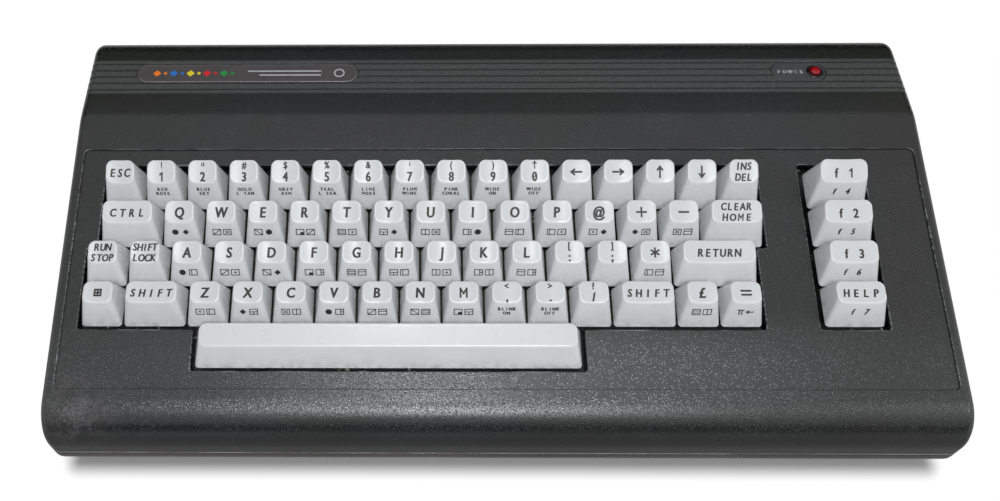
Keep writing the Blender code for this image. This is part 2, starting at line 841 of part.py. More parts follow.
def add_lugs(keyboard):
    bar = bpy.data.objects["space_bar"]
    end_v, end_w = wire_places()[2:]
    centre = bar.location.x
    half_slot_v = wire_diameter / 2 + wire_slot_slack
    half_slot_w = wire_diameter / 2 + clearance
    lugs = bmesh.new()
    slots = bmesh.new()
    for side in (-1, 1):
        x = centre + side * (wire_reach - lug_inset)
        top = bar_back_height - key_wall / 2 - key_dish
        box(lugs, (x - lug_thickness / 2, end_v - lug_width / 2, end_w - half_slot_w - lug_web),
            (x + lug_thickness / 2, end_v + lug_width / 2, top - key_wall / 2))
        box(slots, (x - lug_thickness, end_v - half_slot_v, end_w - half_slot_w),
            (x + lug_thickness, end_v + half_slot_v, end_w + half_slot_w))
    combine(bar, "UNION", lugs, keyboard)
    combine(bar, "DIFFERENCE", slots, keyboard)


def build_wire(steel, keyboard):
    pivot_v, pivot_w, end_v, end_w = wire_places()
    centre = bpy.data.objects["space_bar"].location.x
    arm_v = end_v - pivot_v
    arm_w = end_w - pivot_w
    inner = wire_reach - wire_end_inset
    points = [(-inner, arm_v, arm_w), (-wire_reach, arm_v, arm_w), (-wire_reach, 0, 0), (wire_reach, 0, 0),
              (wire_reach, arm_v, arm_w), (inner, arm_v, arm_w)]
    curve = bpy.data.curves.new("space_bar_wire", "CURVE")
    curve.dimensions = "3D"
    curve.bevel_depth = wire_diameter / 2
    curve.bevel_resolution = 2
    curve.use_fill_caps = True
    spline = curve.splines.new("POLY")
    spline.points.add(len(points) - 1)
    for point, place in zip(spline.points, points):
        point.co = (*place, 1)
    curve.materials.append(steel)
    wire = bpy.data.objects.new("space_bar_wire", curve)
    bpy.context.scene.collection.objects.link(wire)
    wire.parent = keyboard
    wire.location = (centre, pivot_v, pivot_w)


def build_frame(plastic, keyboard):
    low_x, high_x, low_v, high_v = frame_extent()
    floor = contact_w + clearance
    solid = box(bmesh.new(), (low_x, low_v, floor), (high_x, high_v, plate_w))
    frame = add_object("key_frame", solid, plastic, keyboard)
    inner = box(bmesh.new(), (low_x + frame_rim, low_v + frame_rim, floor - overrun),
                (high_x - frame_rim, high_v - frame_rim, plate_w - frame_plate))
    combine(frame, "DIFFERENCE", inner, keyboard)
    pivot_v, pivot_w = wire_places()[:2]
    centre = bpy.data.objects["space_bar"].location.x
    saddles = bmesh.new()
    notches = bmesh.new()
    half_notch = wire_diameter / 2 + clearance
    for side in (-1, 1):
        x = centre + side * (wire_reach - saddle_inset)
        box(saddles, (x - saddle_width / 2, pivot_v - saddle_length / 2, plate_w - frame_plate / 2),
            (x + saddle_width / 2, pivot_v + saddle_length / 2, pivot_w))
        box(notches, (x - saddle_width, pivot_v - half_notch, pivot_w - half_notch),
            (x + saddle_width, pivot_v + half_notch, pivot_w + overrun))
    combine(frame, "UNION", saddles, keyboard)
    combine(frame, "DIFFERENCE", notches, keyboard)
    holes = bmesh.new()
    half = stem_width / 2 + clearance
    for row in row_keys:
        for name, first, lengths in row_groups(row):
            left = first
            for length in lengths:
                x = unit_x(left + length / 2)
                box(holes, (x - half, row_v(row) - half, plate_w - frame_plate - overrun),
                    (x + half, row_v(row) + half, plate_w + overrun))
                left += length
    combine(frame, "DIFFERENCE", holes, keyboard)


def build_contact_board(board_finish, keyboard):
    low_x, high_x, low_v, high_v = frame_extent()
    solid = box(bmesh.new(), (low_x, low_v, -contact_board_thickness), (high_x, high_v, 0))
    add_object("keyboard_board", solid, board_finish, keyboard, (0, 0, contact_w))


def build_port(name, material, kind, place, facing):
    radius, depth, width, height, length = port_sizes(kind)
    solid = box(bmesh.new(), (-width / 2, -length, 0), (width / 2, 0, height))
    port = add_object(name, solid, material, location=place, rotation=(0, 0, facing))
    bpy.context.view_layer.update()
    bore = cylinder(bmesh.new(), radius, (0, -depth, height / 2), (0, overrun, height / 2))
    combine(port, "DIFFERENCE", bore, port)


def build_ports(plastic, metal):
    face = inner_back - port_setback
    for name, x, kind in rear_ports():
        build_port(name, plastic, kind, (x, face, port_z), 0)
    side_face = inner_right - port_setback
    places = side_ports()
    for name, kind in (("power_socket", "din"), ("joystick_port_1", "mini"), ("joystick_port_2", "mini")):
        build_port(name, plastic, kind, (side_face, places[name], port_z), -math.pi / 2)

    x = expansion_x
    front = half_depth - expansion_setback
    solid = box(bmesh.new(), (-expansion_length / 2, -expansion_body_length, 0),
                (expansion_length / 2, 0, expansion_height))
    port = add_object("expansion_port", solid, plastic, location=(x, front, port_z))
    middle = port_z + expansion_height / 2
    slot = box(bmesh.new(), (x - expansion_slot_length / 2, front - expansion_slot_depth,
                             middle - expansion_slot_height / 2),
               (x + expansion_slot_length / 2, front + overrun, middle + expansion_slot_height / 2))
    combine(port, "DIFFERENCE", slot)

    x = modulator_x
    solid = box(bmesh.new(), (-modulator_width / 2, -modulator_length, 0),
                (modulator_width / 2, 0, modulator_height))
    can = add_object("rf_modulator", solid, metal, location=(x, face, port_z))
    middle = port_z + modulator_height / 2
    combine(can, "UNION", cylinder(bmesh.new(), sleeve_radius, (x, face - overrun, middle),
                                   (x, face + sleeve_length, middle)))
    combine(can, "DIFFERENCE", cylinder(bmesh.new(), sleeve_bore, (x, face - din_depth, middle),
                                        (x, face + sleeve_length + overrun, middle), small_round_steps))


def build_switch(plastic, button_finish):
    y = side_ports()["power_switch"]
    middle = port_z + switch_height / 2
    face = inner_right - port_setback
    solid = box(bmesh.new(), (-switch_body_depth, -switch_length / 2, 0),
                (0, switch_length / 2, switch_height))
    body = add_object("power_switch", solid, plastic, location=(face, y, port_z))
    reach = rocker_half_length + rocker_play
    half = rocker_thickness / 2 + clearance
    pivot_x = half_width - rocker_setback
    pocket = box(bmesh.new(), (pivot_x - rocker_back - rocker_play - overrun, y - reach, middle - half),
                 (face + overrun, y + reach, middle + half))
    combine(body, "DIFFERENCE", pocket)
    shoulder = rocker_front * rocker_shoulder_share
    waist = rocker_half_length * rocker_waist_share
    outline = [(-rocker_back, -waist), (shoulder, -rocker_half_length), (rocker_front, -rocker_half_length),
               (rocker_valley, 0), (rocker_front, rocker_half_length), (shoulder, rocker_half_length),
               (-rocker_back, waist)]
    rocker = prism(bmesh.new(), outline, -rocker_thickness / 2, rocker_thickness / 2, (0, 1, 2))
    add_object("power_rocker", rocker, button_finish, location=(pivot_x, y, middle),
               rotation=(0, 0, -rocker_tilt))

    button = cylinder(bmesh.new(), reset_radius, (-reset_length, 0, 0), (0, 0, 0))
    add_object("reset_button", button, button_finish,
               location=(half_width - reset_setback, side_ports()["reset_button"], middle))


def build_main_board(board_finish, chip_finish, metal):
    low_x = -half_width + board_left_inset
    low_y = -half_depth + board_front_from_front
    solid = box(bmesh.new(), (low_x, low_y, 0),
                (inner_right - board_edge_margin, inner_back - board_edge_margin, board_thickness))
    add_object("main_board", solid, board_finish, location=(0, 0, board_z))
    chip_y = low_y + chip_front_gap
    # The chips stand on either side of the flat cable
    offset = ribbon_width / 2 + chip_side_gap
    for name, side, length, width in (("processor_chip", -1, processor_length, processor_width),
                                      ("video_chip", 1, video_length, video_width)):
        chip = box(bmesh.new(), (-length / 2, 0, 0), (length / 2, width, chip_height))
        x = unit_x(ribbon_share) + side * (offset + length / 2)
        add_object(name, chip, chip_finish, location=(x, chip_y, port_z))

    # The fins stand on a common base
    pitch = (sink_width - sink_fin) / (sink_fin_count - 1)
    outline = [(-sink_width / 2, 0)]
    for index in range(sink_fin_count):
        left = -sink_width / 2 + index * pitch
        if index:
            outline.append((left, sink_base))
        outline.append((left, sink_height))
        outline.append((left + sink_fin, sink_height))
        if index < sink_fin_count - 1:
            outline.append((left + sink_fin, sink_base))
    outline.append((sink_width / 2, 0))
    sink = prism(bmesh.new(), outline, -sink_length / 2, sink_length / 2, (1, 2, 0))
    place = (half_width - sink_right_inset, half_depth - sink_from_back, port_z)
    add_object("heat_sink", sink, metal, location=place)


def bezier(start, first, second, end, steps):
    points = []
    for index in range(steps + 1):
        t = index / steps
        near = (1 - t) ** 3 * Vector(start) + 3 * t * (1 - t) ** 2 * Vector(first)
        far = 3 * t ** 2 * (1 - t) * Vector(second) + t ** 3 * Vector(end)
        points.append(near + far)
    return points


def build_ribbon(cable_finish):
    # From the underside of the contact board down to the main board
    w = contact_w - contact_board_thickness - clearance - ribbon_thickness / 2
    v_end = frame_extent()[3] - frame_rim

    def place(v):
        return (keys_y + v * slope_cos - w * slope_sin, keys_z + v * slope_sin + w * slope_cos)

    start = place(v_end - ribbon_flat)
    tip = place(v_end)
    low_z = port_z + ribbon_thickness / 2
    rise = (start[1] - low_z) / 2
    foot_y = start[0] - rise
    path = [tip]
    path += [tuple(point) for point in bezier(start, (start[0] - rise, start[1] - rise * slope_sin),
                                              (foot_y + rise, low_z), (foot_y, low_z), lead_steps)]
    path.append((foot_y - ribbon_flat, low_z))
    upper, lower = [], []
    for index, point in enumerate(path):
        before = Vector(path[max(index - 1, 0)])
        after = Vector(path[min(index + 1, len(path) - 1)])
        along = (after - before).normalized()
        side = Vector((-along.y, along.x)) * ribbon_thickness / 2
        upper.append(tuple(Vector(point) + side))
        lower.append(tuple(Vector(point) - side))
    x = unit_x(ribbon_share)
    solid = prism(bmesh.new(), upper + lower[::-1], x - ribbon_width / 2, x + ribbon_width / 2, (1, 2, 0))
    add_object("keyboard_cable", solid, cable_finish)


def build_lead(cable_finish):
    # From the foot of the lamp down to the main board
    top = plate_top + plate_rise - lamp_body_length - clearance
    drop = top - port_z
    reach = drop * lead_bend_share
    points = bezier((0, 0, 0), (0, 0, -reach), (-reach, 0, -drop + reach), (-reach, 0, -drop), lead_steps)
    curve = bpy.data.curves.new("led_cable", "CURVE")
    curve.dimensions = "3D"
    curve.bevel_depth = lead_radius
    curve.bevel_resolution = 2
    curve.use_fill_caps = True
    spline = curve.splines.new("POLY")
    spline.points.add(len(points) - 1)
    for point, place in zip(spline.points, points):
        point.co = (*place, 1)
    curve.materials.append(cable_finish)
    lead = bpy.data.objects.new("led_cable", curve)
    bpy.context.scene.collection.objects.link(lead)
    lead.location = (lamp_x, plate_y, top)


def build_computer():
    clear_scene()
    case_plastic = finish("case_plastic", (0.045, 0.045, 0.047), 0.5)
    key_plastic = finish("key_plastic", (0.62, 0.62, 0.62), 0.4)
    black_plastic = finish("black_plastic", (0.02, 0.02, 0.02), 0.45)
    plate_finish = finish("plate_finish", (0.09, 0.09, 0.09), 0.4)
    lamp_red = finish("lamp_red", (0.45, 0.01, 0.01), 0.15)
    rubber = finish("rubber", (0.03, 0.03, 0.03), 0.9)
    steel = finish("steel", (0.6, 0.6, 0.6), 0.35, 1.0)
    tin = finish("tin", (0.55, 0.56, 0.55), 0.45, 1.0)
    board_green = finish("board_green", (0.02, 0.12, 0.05), 0.5)
    ribbon_grey = finish("ribbon_grey", (0.5, 0.5, 0.5), 0.6)

    keyboard = bpy.data.objects.new("keyboard", None)
    bpy.context.scene.collection.objects.link(keyboard)
    keyboard.location = (0, keys_y, keys_z)
    keyboard.rotation_euler = (deck_slope, 0, 0)

    build_upper_case(case_plastic, keyboard)
    build_lower_case(case_plastic)
    build_plates(case_plastic, plate_finish)
    build_lamp(lamp_red, black_plastic)
    build_feet(rubber)
    build_screws(steel)
    build_keys(key_plastic, keyboard)
    add_lugs(keyboard)
    build_wire(steel, keyboard)
    build_frame(black_plastic, keyboard)
    build_contact_board(board_green, keyboard)
    build_main_board(board_green, black_plastic, tin)
    build_ports(black_plastic, tin)
    build_switch(black_plastic, black_plastic)
    build_ribbon(ribbon_grey)
    build_lead(ribbon_grey)


build_computer()
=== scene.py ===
import itertools
import json
import math

import bmesh
import bpy
from mathutils import Matrix, Vector


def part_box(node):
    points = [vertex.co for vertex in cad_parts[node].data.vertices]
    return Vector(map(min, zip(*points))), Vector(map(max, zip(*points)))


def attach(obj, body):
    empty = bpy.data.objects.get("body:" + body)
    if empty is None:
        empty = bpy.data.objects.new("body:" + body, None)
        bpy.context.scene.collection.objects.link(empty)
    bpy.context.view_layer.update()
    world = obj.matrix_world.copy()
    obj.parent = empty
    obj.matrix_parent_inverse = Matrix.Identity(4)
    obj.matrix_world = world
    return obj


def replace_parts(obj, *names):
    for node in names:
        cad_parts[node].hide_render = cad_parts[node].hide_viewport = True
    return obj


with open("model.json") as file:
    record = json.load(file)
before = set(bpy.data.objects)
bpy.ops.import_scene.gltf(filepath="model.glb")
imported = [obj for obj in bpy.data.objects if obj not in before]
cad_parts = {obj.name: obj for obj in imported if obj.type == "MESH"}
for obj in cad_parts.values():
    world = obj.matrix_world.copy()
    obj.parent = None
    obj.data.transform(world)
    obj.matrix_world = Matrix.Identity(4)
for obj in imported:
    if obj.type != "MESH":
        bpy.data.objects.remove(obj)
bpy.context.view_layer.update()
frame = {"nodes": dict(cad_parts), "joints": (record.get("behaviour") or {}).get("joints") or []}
scene = bpy.context.scene

# Metres throughout. X runs along the keyboard, +Y is the back, +Z is up.
upperLow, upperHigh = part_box("upper_case")
lowerLow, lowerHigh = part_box("lower_case")
halfWidth, halfDepth, caseTop = upperHigh
seamZ = upperLow.z

case = {
    "slope": math.radians(11),     # of the deck under the keys
    "creaseFromBack": 0.0528,      # where the deck meets the level roof
    "noseRadius": 0.019,
    "backRadius": 0.011,
    "endRadius": 0.0045,
    "endSteps": 6,
    "wall": 0.0026,                # of the lower shell
    "roof": 0.0035,                # and of the upper one
    "seamRound": 0.0005,
    "overrun": 0.002,              # of a cutter past what it cuts
}

keyboard = {
    "pitch": 0.01905,
    "leftBorder": 0.0190,
    "backBorder": 0.0310,          # from the crease to the first row of keys
    "deckBackFromCrease": 0.0187,
    "rimRise": 0.0006,             # of the case's rim over the keys' own plane
    "rowCount": 5,
    "functionShare": 17.17,        # where the function keys start, in pitches
    "functionWidth": 1.43,
}

slopeCos = math.cos(case["slope"])
slopeSin = math.sin(case["slope"])
creaseY = halfDepth - case["creaseFromBack"]
# The keys' own frame lies in their plane: it starts on the fourth row, and V runs up the slope
creaseV = keyboard["backBorder"] + (keyboard["rowCount"] - 1.5) * keyboard["pitch"]
deckBackV = creaseV - keyboard["deckBackFromCrease"]
keysPlace = Matrix.Translation((
    0,
    creaseY - creaseV * slopeCos + keyboard["rimRise"] * slopeSin,
    caseTop - creaseV * slopeSin - keyboard["rimRise"] * slopeCos,
)) @ Matrix.Rotation(case["slope"], 4, "X")


# Mesh helpers

def newObject(name, bm, materials=(), smooth=35, weighted=True):
    # Smooth is the angle past which an edge stays sharp, or 0 for a piece that is shaded later
    bmesh.ops.recalc_face_normals(bm, faces=bm.faces)
    mesh = bpy.data.meshes.new(name)
    bm.to_mesh(mesh)
    bm.free()
    for material in materials:
        mesh.materials.append(material)
    obj = bpy.data.objects.new(name, mesh)
    scene.collection.objects.link(obj)
    if smooth:
        shade(obj, smooth, weighted)
    return obj


def shade(obj, angle=35, weighted=True):
    obj.data.shade_smooth()
    obj.data.set_sharp_from_angle(angle=math.radians(angle))
    if weighted:
        normals = obj.modifiers.new("flat faces stay flat", "WEIGHTED_NORMAL")
        normals.keep_sharp = True


def evaluatedMesh(obj):
    bpy.context.view_layer.update()
    graph = bpy.context.evaluated_depsgraph_get()
    return bpy.data.meshes.new_from_object(obj.evaluated_get(graph), depsgraph=graph)


def cut(obj, bm):
    # Takes a cutter out of a piece; the cut faces take the materials by their number
    tool = newObject("tool", bm, smooth=0)
    modifier = obj.modifiers.new("cut", "BOOLEAN")
    modifier.operation = "DIFFERENCE"
    modifier.object = tool
    mesh = evaluatedMesh(obj)
    obj.modifiers.clear()
    obj.data = mesh
    bpy.data.objects.remove(tool)


def loft(bm, rings):
    # One closed body through rings that have equally many points
    tag = bm.verts.layers.int.get("place") or bm.verts.layers.int.new("place")
    corners = [bm.verts.new(point) for point in rings[0]]
    for number, corner in enumerate(corners):
        corner[tag] = number
    lid = bm.faces.new(corners)
    for number, points in enumerate(rings[1:]):
        made = bmesh.ops.extrude_face_region(bm, geom=[lid])["geom"]
        if number:
            bmesh.ops.delete(bm, geom=[lid], context="FACES_ONLY")
        for item in made:
            if isinstance(item, bmesh.types.BMVert):
                item.co = points[item[tag]]
            elif isinstance(item, bmesh.types.BMFace):
                lid = item
    return bm


def turned(bm, profile, steps=32, place=Matrix()):
    # A profile of (radius, height) pairs spun round Z
    known = set(bm.verts)
    verts = [bm.verts.new((radius, 0, height)) for radius, height in profile]
    edges = [bm.edges.new(pair) for pair in zip(verts, verts[1:])]
    bmesh.ops.spin(bm, geom=verts + edges, cent=(0, 0, 0), axis=(0, 0, 1), angle=2 * math.pi,
                   steps=steps, use_merge=True, use_duplicate=False)
    bmesh.ops.remove_doubles(bm, verts=[vert for vert in bm.verts if vert not in known], dist=1e-6)
    bmesh.ops.transform(bm, matrix=place, verts=[vert for vert in bm.verts if vert not in known])


def block(bm, low, high, place=Matrix(), bevel=0.0, steps=2):
    low, high = Vector(low), Vector(high)
    size = Matrix.Diagonal((*(high - low), 1))
    corners = bmesh.ops.create_cube(bm, size=1, matrix=Matrix.Translation((low + high) / 2) @ size)["verts"]
    if bevel:
        edges = list({edge for vert in corners for edge in vert.link_edges})
        made = bmesh.ops.bevel(bm, geom=edges, offset=bevel, offset_type="OFFSET", segments=steps,
                               profile=0.5, affect="EDGES", material=-1, clamp_overlap=True)
        corners = made["verts"]
    bmesh.ops.transform(bm, matrix=place, verts=corners)


def rod(bm, radius, start, end, steps=24):
    start, end = Vector(start), Vector(end)
    turn = (end - start).to_track_quat("Z", "Y").to_matrix().to_4x4()
    place = Matrix.Translation((start + end) / 2) @ turn
    bmesh.ops.create_cone(bm, cap_ends=True, segments=steps, radius1=radius, radius2=radius,
                          depth=(end - start).length, matrix=place)


def arc(centre, radius, start, end, steps):
    points = []
    for step in range(steps + 1):
        angle = math.radians(start + (end - start) * step / steps)
        points.append((centre[0] + radius * math.cos(angle), centre[1] + radius * math.sin(angle)))
    return points


def stadium(centre, length, height, inset=0.0, steps=16):
    reach = (length - height) / 2
    radius = height / 2 - inset
    right = arc((centre[0] + reach, centre[1]), radius, -90, 90, steps)
    left = arc((centre[0] - reach, centre[1]), radius, 90, 270, steps)
    return right + left


def rounded(corners, radius, offset=0.0, steps=4):
    # A right-angled outline, counter-clockwise, with its corners rounded and moved out by an offset
    points = []
    for number, corner in enumerate(corners):
        corner = Vector(corner)
        before = (corner - Vector(corners[number - 1])).normalized()
        after = (Vector(corners[(number + 1) % len(corners)]) - corner).normalized()
        first, second = Vector((before.y, -before.x)), Vector((after.y, -after.x))
        outward = before.x * after.y - before.y * after.x > 0
        side = 1 if outward else -1
        centre = corner - side * radius * (first + second)
        reach = side * radius + offset
        for step in range(steps + 1):
            share = math.radians(90) * step / steps
            points.append(tuple(centre + reach * (first * math.cos(share) + second * math.sin(share))))
    return points


def ring(outline, level):
    return [(x, y, level) for x, y in outline]


# Node helpers

def makeGroup(name, inputs, outputs):
    tree = bpy.data.node_groups.new(name, "ShaderNodeTree")
    for label, kind, value in inputs:
        socket = tree.interface.new_socket(name=label, in_out="INPUT", socket_type=kind)
        if value is not None:
            socket.default_value = value
    for label, kind in outputs:
        tree.interface.new_socket(name=label, in_out="OUTPUT", socket_type=kind)
    return tree, tree.nodes.new("NodeGroupInput"), tree.nodes.new("NodeGroupOutput")


def addNode(tree, kind, settings=None, **inputs):
    # Inputs are values or sockets, by name; a number after an underscore picks a socket by its place
    node = tree.nodes.new(kind)
    for name, value in (settings or {}).items():
        setattr(node, name, value)
    for name, value in inputs.items():
        socket = node.inputs[int(name[1:])] if name[0] == "_" else node.inputs[name.replace("_", " ")]
        if isinstance(value, bpy.types.NodeSocket):
            tree.links.new(value, socket)
        else:
            socket.default_value = value
    return node


def maths(tree, operation, first, second=0.0, clamp=False):
    settings = {"operation": operation, "use_clamp": clamp}
    return addNode(tree, "ShaderNodeMath", settings, _0=first, _1=second).outputs[0]


def times(tree, *factors, clamp=False):
    result = factors[0]
    for number, factor in enumerate(factors[1:], 2):
        result = maths(tree, "MULTIPLY", result, factor, clamp and number == len(factors))
    return result


def remap(tree, value, low, high, toLow=0.0, toHigh=1.0):
    return addNode(tree, "ShaderNodeMapRange", {"interpolation_type": "SMOOTHSTEP"}, Value=value,
                   _1=low, _2=high, _3=toLow, _4=toHigh).outputs["Result"]


def mixColour(tree, share, first, second):
    return addNode(tree, "ShaderNodeMix", {"data_type": "RGBA"}, _0=share, _6=first, _7=second).outputs[2]


def noise(tree, vector, scale, detail=2.0, roughness=0.5):
    return addNode(tree, "ShaderNodeTexNoise", Vector=vector, Scale=scale, Detail=detail,
                   Roughness=roughness).outputs["Fac"]


def cellDots(tree, vector, scale):
    # The distance from the middle of each cell, and a chance number for the cell
    cells = addNode(tree, "ShaderNodeTexVoronoi", Vector=vector, Scale=scale)
    chance = addNode(tree, "ShaderNodeSeparateColor", Color=cells.outputs["Color"]).outputs["Red"]
    return cells.outputs["Distance"], chance


def mouldedGrain():
    # Spark-eroded texture of a mould: small domes of uneven height over a slower swell
    tree, given, out = makeGroup("moulded grain", [("Vector", "NodeSocketVector", None),
                                                   ("Scale", "NodeSocketFloat", 1500.0),
                                                   ("Domes", "NodeSocketFloat", 0.6)],
                                 [("Height", "NodeSocketFloat")])
    vector, scale = given.outputs["Vector"], given.outputs["Scale"]
    swell = noise(tree, vector, scale, 0.0, 0.5)
    distance, chance = cellDots(tree, vector, scale)
    domes = times(tree, remap(tree, distance, 0.0, 0.5, 1.0, 0.0), chance, given.outputs["Domes"])
    tree.links.new(maths(tree, "ADD", times(tree, swell, 0.12), domes), out.inputs["Height"])
    return tree


def agedSurface():
    # Slow blotches of tone, with specks of dust caught in the grain
    tree, given, out = makeGroup("aged surface", [("Vector", "NodeSocketVector", None),
                                                  ("Colour", "NodeSocketColor", (0.5, 0.5, 0.5, 1)),
                                                  ("Blotch Colour", "NodeSocketColor", (0.4, 0.4, 0.4, 1)),
                                                  ("Dust Colour", "NodeSocketColor", (0.6, 0.6, 0.6, 1)),
                                                  ("Blotch Scale", "NodeSocketFloat", 20.0),
                                                  ("Dust Scale", "NodeSocketFloat", 900.0),
                                                  ("Dust", "NodeSocketFloat", 0.2),
                                                  ("Roughness", "NodeSocketFloat", 0.45),
                                                  ("Roughness Spread", "NodeSocketFloat", 0.1)],
                                 [("Colour", "NodeSocketColor"), ("Roughness", "NodeSocketFloat")])
    given = given.outputs
    vector = given["Vector"]
    slow = remap(tree, noise(tree, vector, given["Blotch Scale"], 4.0, 0.6), 0.35, 0.65)
    specks = remap(tree, noise(tree, vector, given["Dust Scale"], 1.0, 0.5), 0.66, 0.78)
    places = remap(tree, noise(tree, vector, 45.0, 2.0, 0.6), 0.42, 0.62)
    dust = times(tree, specks, places, given["Dust"], clamp=True)
    base = mixColour(tree, slow, given["Colour"], given["Blotch Colour"])
    tree.links.new(mixColour(tree, dust, base, given["Dust Colour"]), out.inputs["Colour"])
    spread = times(tree, maths(tree, "SUBTRACT", slow, 0.5), given["Roughness Spread"])
    tree.links.new(maths(tree, "ADD", given["Roughness"], spread), out.inputs["Roughness"])
    return tree


def rubbedMask():
    # Short scratches along X, in patches
    tree, given, out = makeGroup("rubbed", [("Vector", "NodeSocketVector", None),
                                            ("Amount", "NodeSocketFloat", 0.5)],
                                 [("Mask", "NodeSocketFloat")])
    vector = given.outputs["Vector"]
    mapping = addNode(tree, "ShaderNodeMapping", Vector=vector, Scale=(90.0, 900.0, 900.0))
    streaks = remap(tree, noise(tree, mapping.outputs["Vector"], 1.0, 3.0, 0.7), 0.42, 0.62)
    patches = remap(tree, noise(tree, vector, 30.0, 3.0, 0.6), 0.35, 0.6)
    tree.links.new(times(tree, streaks, patches, given.outputs["Amount"], clamp=True), out.inputs["Mask"])
    return tree


groups = {"grain": mouldedGrain(), "aged": agedSurface(), "rubbed": rubbedMask()}


def rgb(red, green, blue):
    # A colour as it shows on a screen, from 0 to 255
    channels = []
    for value in (red, green, blue):
        share = value / 255
        channels.append(share / 12.92 if share <= 0.04045 else ((share + 0.055) / 1.055) ** 2.4)
    return (*channels, 1.0)


def toned(colour, share):
    # A colour made lighter or darker
    return tuple(min(1, share * channel) for channel in colour[:3]) + (1,)


def newMaterial(name):
    material = bpy.data.materials.new(name)
    material.use_nodes = True
    tree = material.node_tree
    vector = tree.nodes.new("ShaderNodeTexCoord").outputs["Object"]
    return material, tree, tree.nodes["Principled BSDF"], vector


def setInputs(node, **values):
    for name, value in values.items():
        node.inputs[name.replace("_", " ")].default_value = value


def addGroup(tree, name, **inputs):
    return addNode(tree, "ShaderNodeGroup", {"node_tree": groups[name]}, **inputs)


def addBump(tree, shader, height, strength, distance):
    bump = addNode(tree, "ShaderNodeBump", Height=height, Strength=strength, Distance=distance)
    tree.links.new(bump.outputs["Normal"], shader.inputs["Normal"])


def surface(name, look):
    # A moulded or cast surface: blotches, dust and grain
    material, tree, shader, vector = newMaterial(name)
    aged = addGroup(tree, "aged", Vector=vector, Colour=look["colour"], Blotch_Colour=look["blotch"],
                    Dust_Colour=look.get("dustColour", rgb(170, 168, 160)), Dust=look.get("dust", 0.0),
                    Blotch_Scale=look.get("blotchScale", 18.0), Dust_Scale=look.get("dustScale", 1400.0),
                    Roughness=look["roughness"], Roughness_Spread=look.get("roughnessSpread", 0.1))
    tree.links.new(aged.outputs["Colour"], shader.inputs["Base Color"])
    tree.links.new(aged.outputs["Roughness"], shader.inputs["Roughness"])
    setInputs(shader, Specular_IOR_Level=look.get("specular", 0.5), Metallic=look.get("metallic", 0.0))
    grain = addGroup(tree, "grain", Vector=vector, Scale=look.get("grainScale", 1500.0),
                     Domes=look.get("domes", 0.6))
    addBump(tree, shader, grain.outputs["Height"], look.get("grain", 0.2), look.get("grainDepth", 0.0001))
    return material, tree, shader, vector, aged


caseLook = {
    "colour": rgb(33, 34, 37),
    "blotch": rgb(26, 27, 27),
    "blotchScale": 9.0,
    # Pale specks over the whole case: partly dust, partly painted glints of the grain
    "dustColour": rgb(132, 134, 138),
    "dust": 0.55,
    "dustScale": 2000.0,
    "roughness": 0.27,
    "roughnessSpread": 0.08,
    "specular": 0.42,
    "grainScale": 1500.0,
    "grain": 0.9,
    "grainDepth": 0.00016,
    "domes": 1.0,
    "edgeColour": rgb(24, 27, 22),        # darker and greener toward the ends, and painted shade low on the nose
    "scuffColour": rgb(122, 118, 122),
    # Pale film and pale specks on the front of the deck and the nose: a painted sheen and painted glints
    "sheenColour": rgb(128, 130, 134),
    "glintColour": rgb(206, 209, 214),
    # Pale colour of the rims: rubbing on the wells' rims, a painted highlight along the deck's rim
    "wearAndHighlightColour": rgb(150, 152, 156),
}

# Painted shade, painted sheen and painted glints on the case, besides its scuffs and rubbed rims
caseShadeSheenAndWear = {
    "ends": 0.45,                  # the ends darken from this share of the half width
    "back": 0.2,                   # and more from this share of the half depth
    "noseFoot": (0.006, 0.017),    # painted shade below this, over the parting line
    "roll": (0.016, 0.006),        # painted shade on the roll, from the back
    "rollShadeColour": rgb(16, 18, 15),
    "ribs": (0.0395, 0.0380, 0.0180, 0.0165),    # from the back: the paler tone starts, is full, then fades
    "ribsDrop": (0.0070, 0.0035),  # below the roof, which keeps the paler tone off the side walls
    "ribsPale": rgb(96, 97, 98),
    "sheenBand": (0.006, 0.013, 0.030, 0.058),      # from the front: the painted sheen starts, is full, then fades
    "crest": 0.0115,               # of the nose, from the front, where the painted glints are densest
    "crestHalf": (0.001, 0.006),
    "crestShift": 0.05,            # to the left, on the crest alone
    "middle": 0.015,               # of the painted sheen, along X
    "middleHalf": (0.045, 0.16),   # full this far to either side, then fading
    "film": 0.17,                  # the even part of the painted sheen, and below it the painted glints
    "specks": 0.9,
    "speckScale": 1650.0,
    "speckSize": (0.16, 0.44),
    "speckChance": (0.4, 1.05),
    "corner": Vector((-halfWidth + 0.017, -halfDepth + 0.010, seamZ + 0.024)),
    "cornerReach": 0.024,
    "cornerShare": 0.5,
    "lipAmount": 0.9,
    "lipCorner": 0.0062,           # pale spots at the ends of the deck's back rim, painted highlights
    "lipReach": 0.004,
    "lipStrength": (0.75, 0.35),   # of the wells' rims, and of the calmer back rim
    "backRim": (0.003, 0.002),
}

keyLook = {
    "colour": rgb(213, 215, 217),
    "blotch": rgb(209, 211, 214),
    "blotchScale": 90.0,
    # Darker and browner toward the foot of the skirts
    "dirt": rgb(120, 118, 112),
    "dirtShare": 0.55,
    # Painted shade on the dished tops
    "topShadeColour": rgb(198, 201, 203),
    "topShadeShare": 0.85,
    "roughness": 0.30,
    "roughnessSpread": 0.08,
    "grainScale": 2600.0,
    "grain": 0.12,
    "ink": rgb(13, 13, 15),
    "frontInk": rgb(30, 32, 36),
}


def nearPoints(tree, vector, points, reach):
    # 1 at any of the points, and 0 from the reach outward
    nearest = None
    for point in points:
        span = addNode(tree, "ShaderNodeVectorMath", {"operation": "DISTANCE"}, _0=vector, _1=point)
        span = span.outputs["Value"]
        nearest = span if nearest is None else maths(tree, "MINIMUM", nearest, span)
    return remap(tree, nearest, 0.0, reach, 1.0, 0.0)


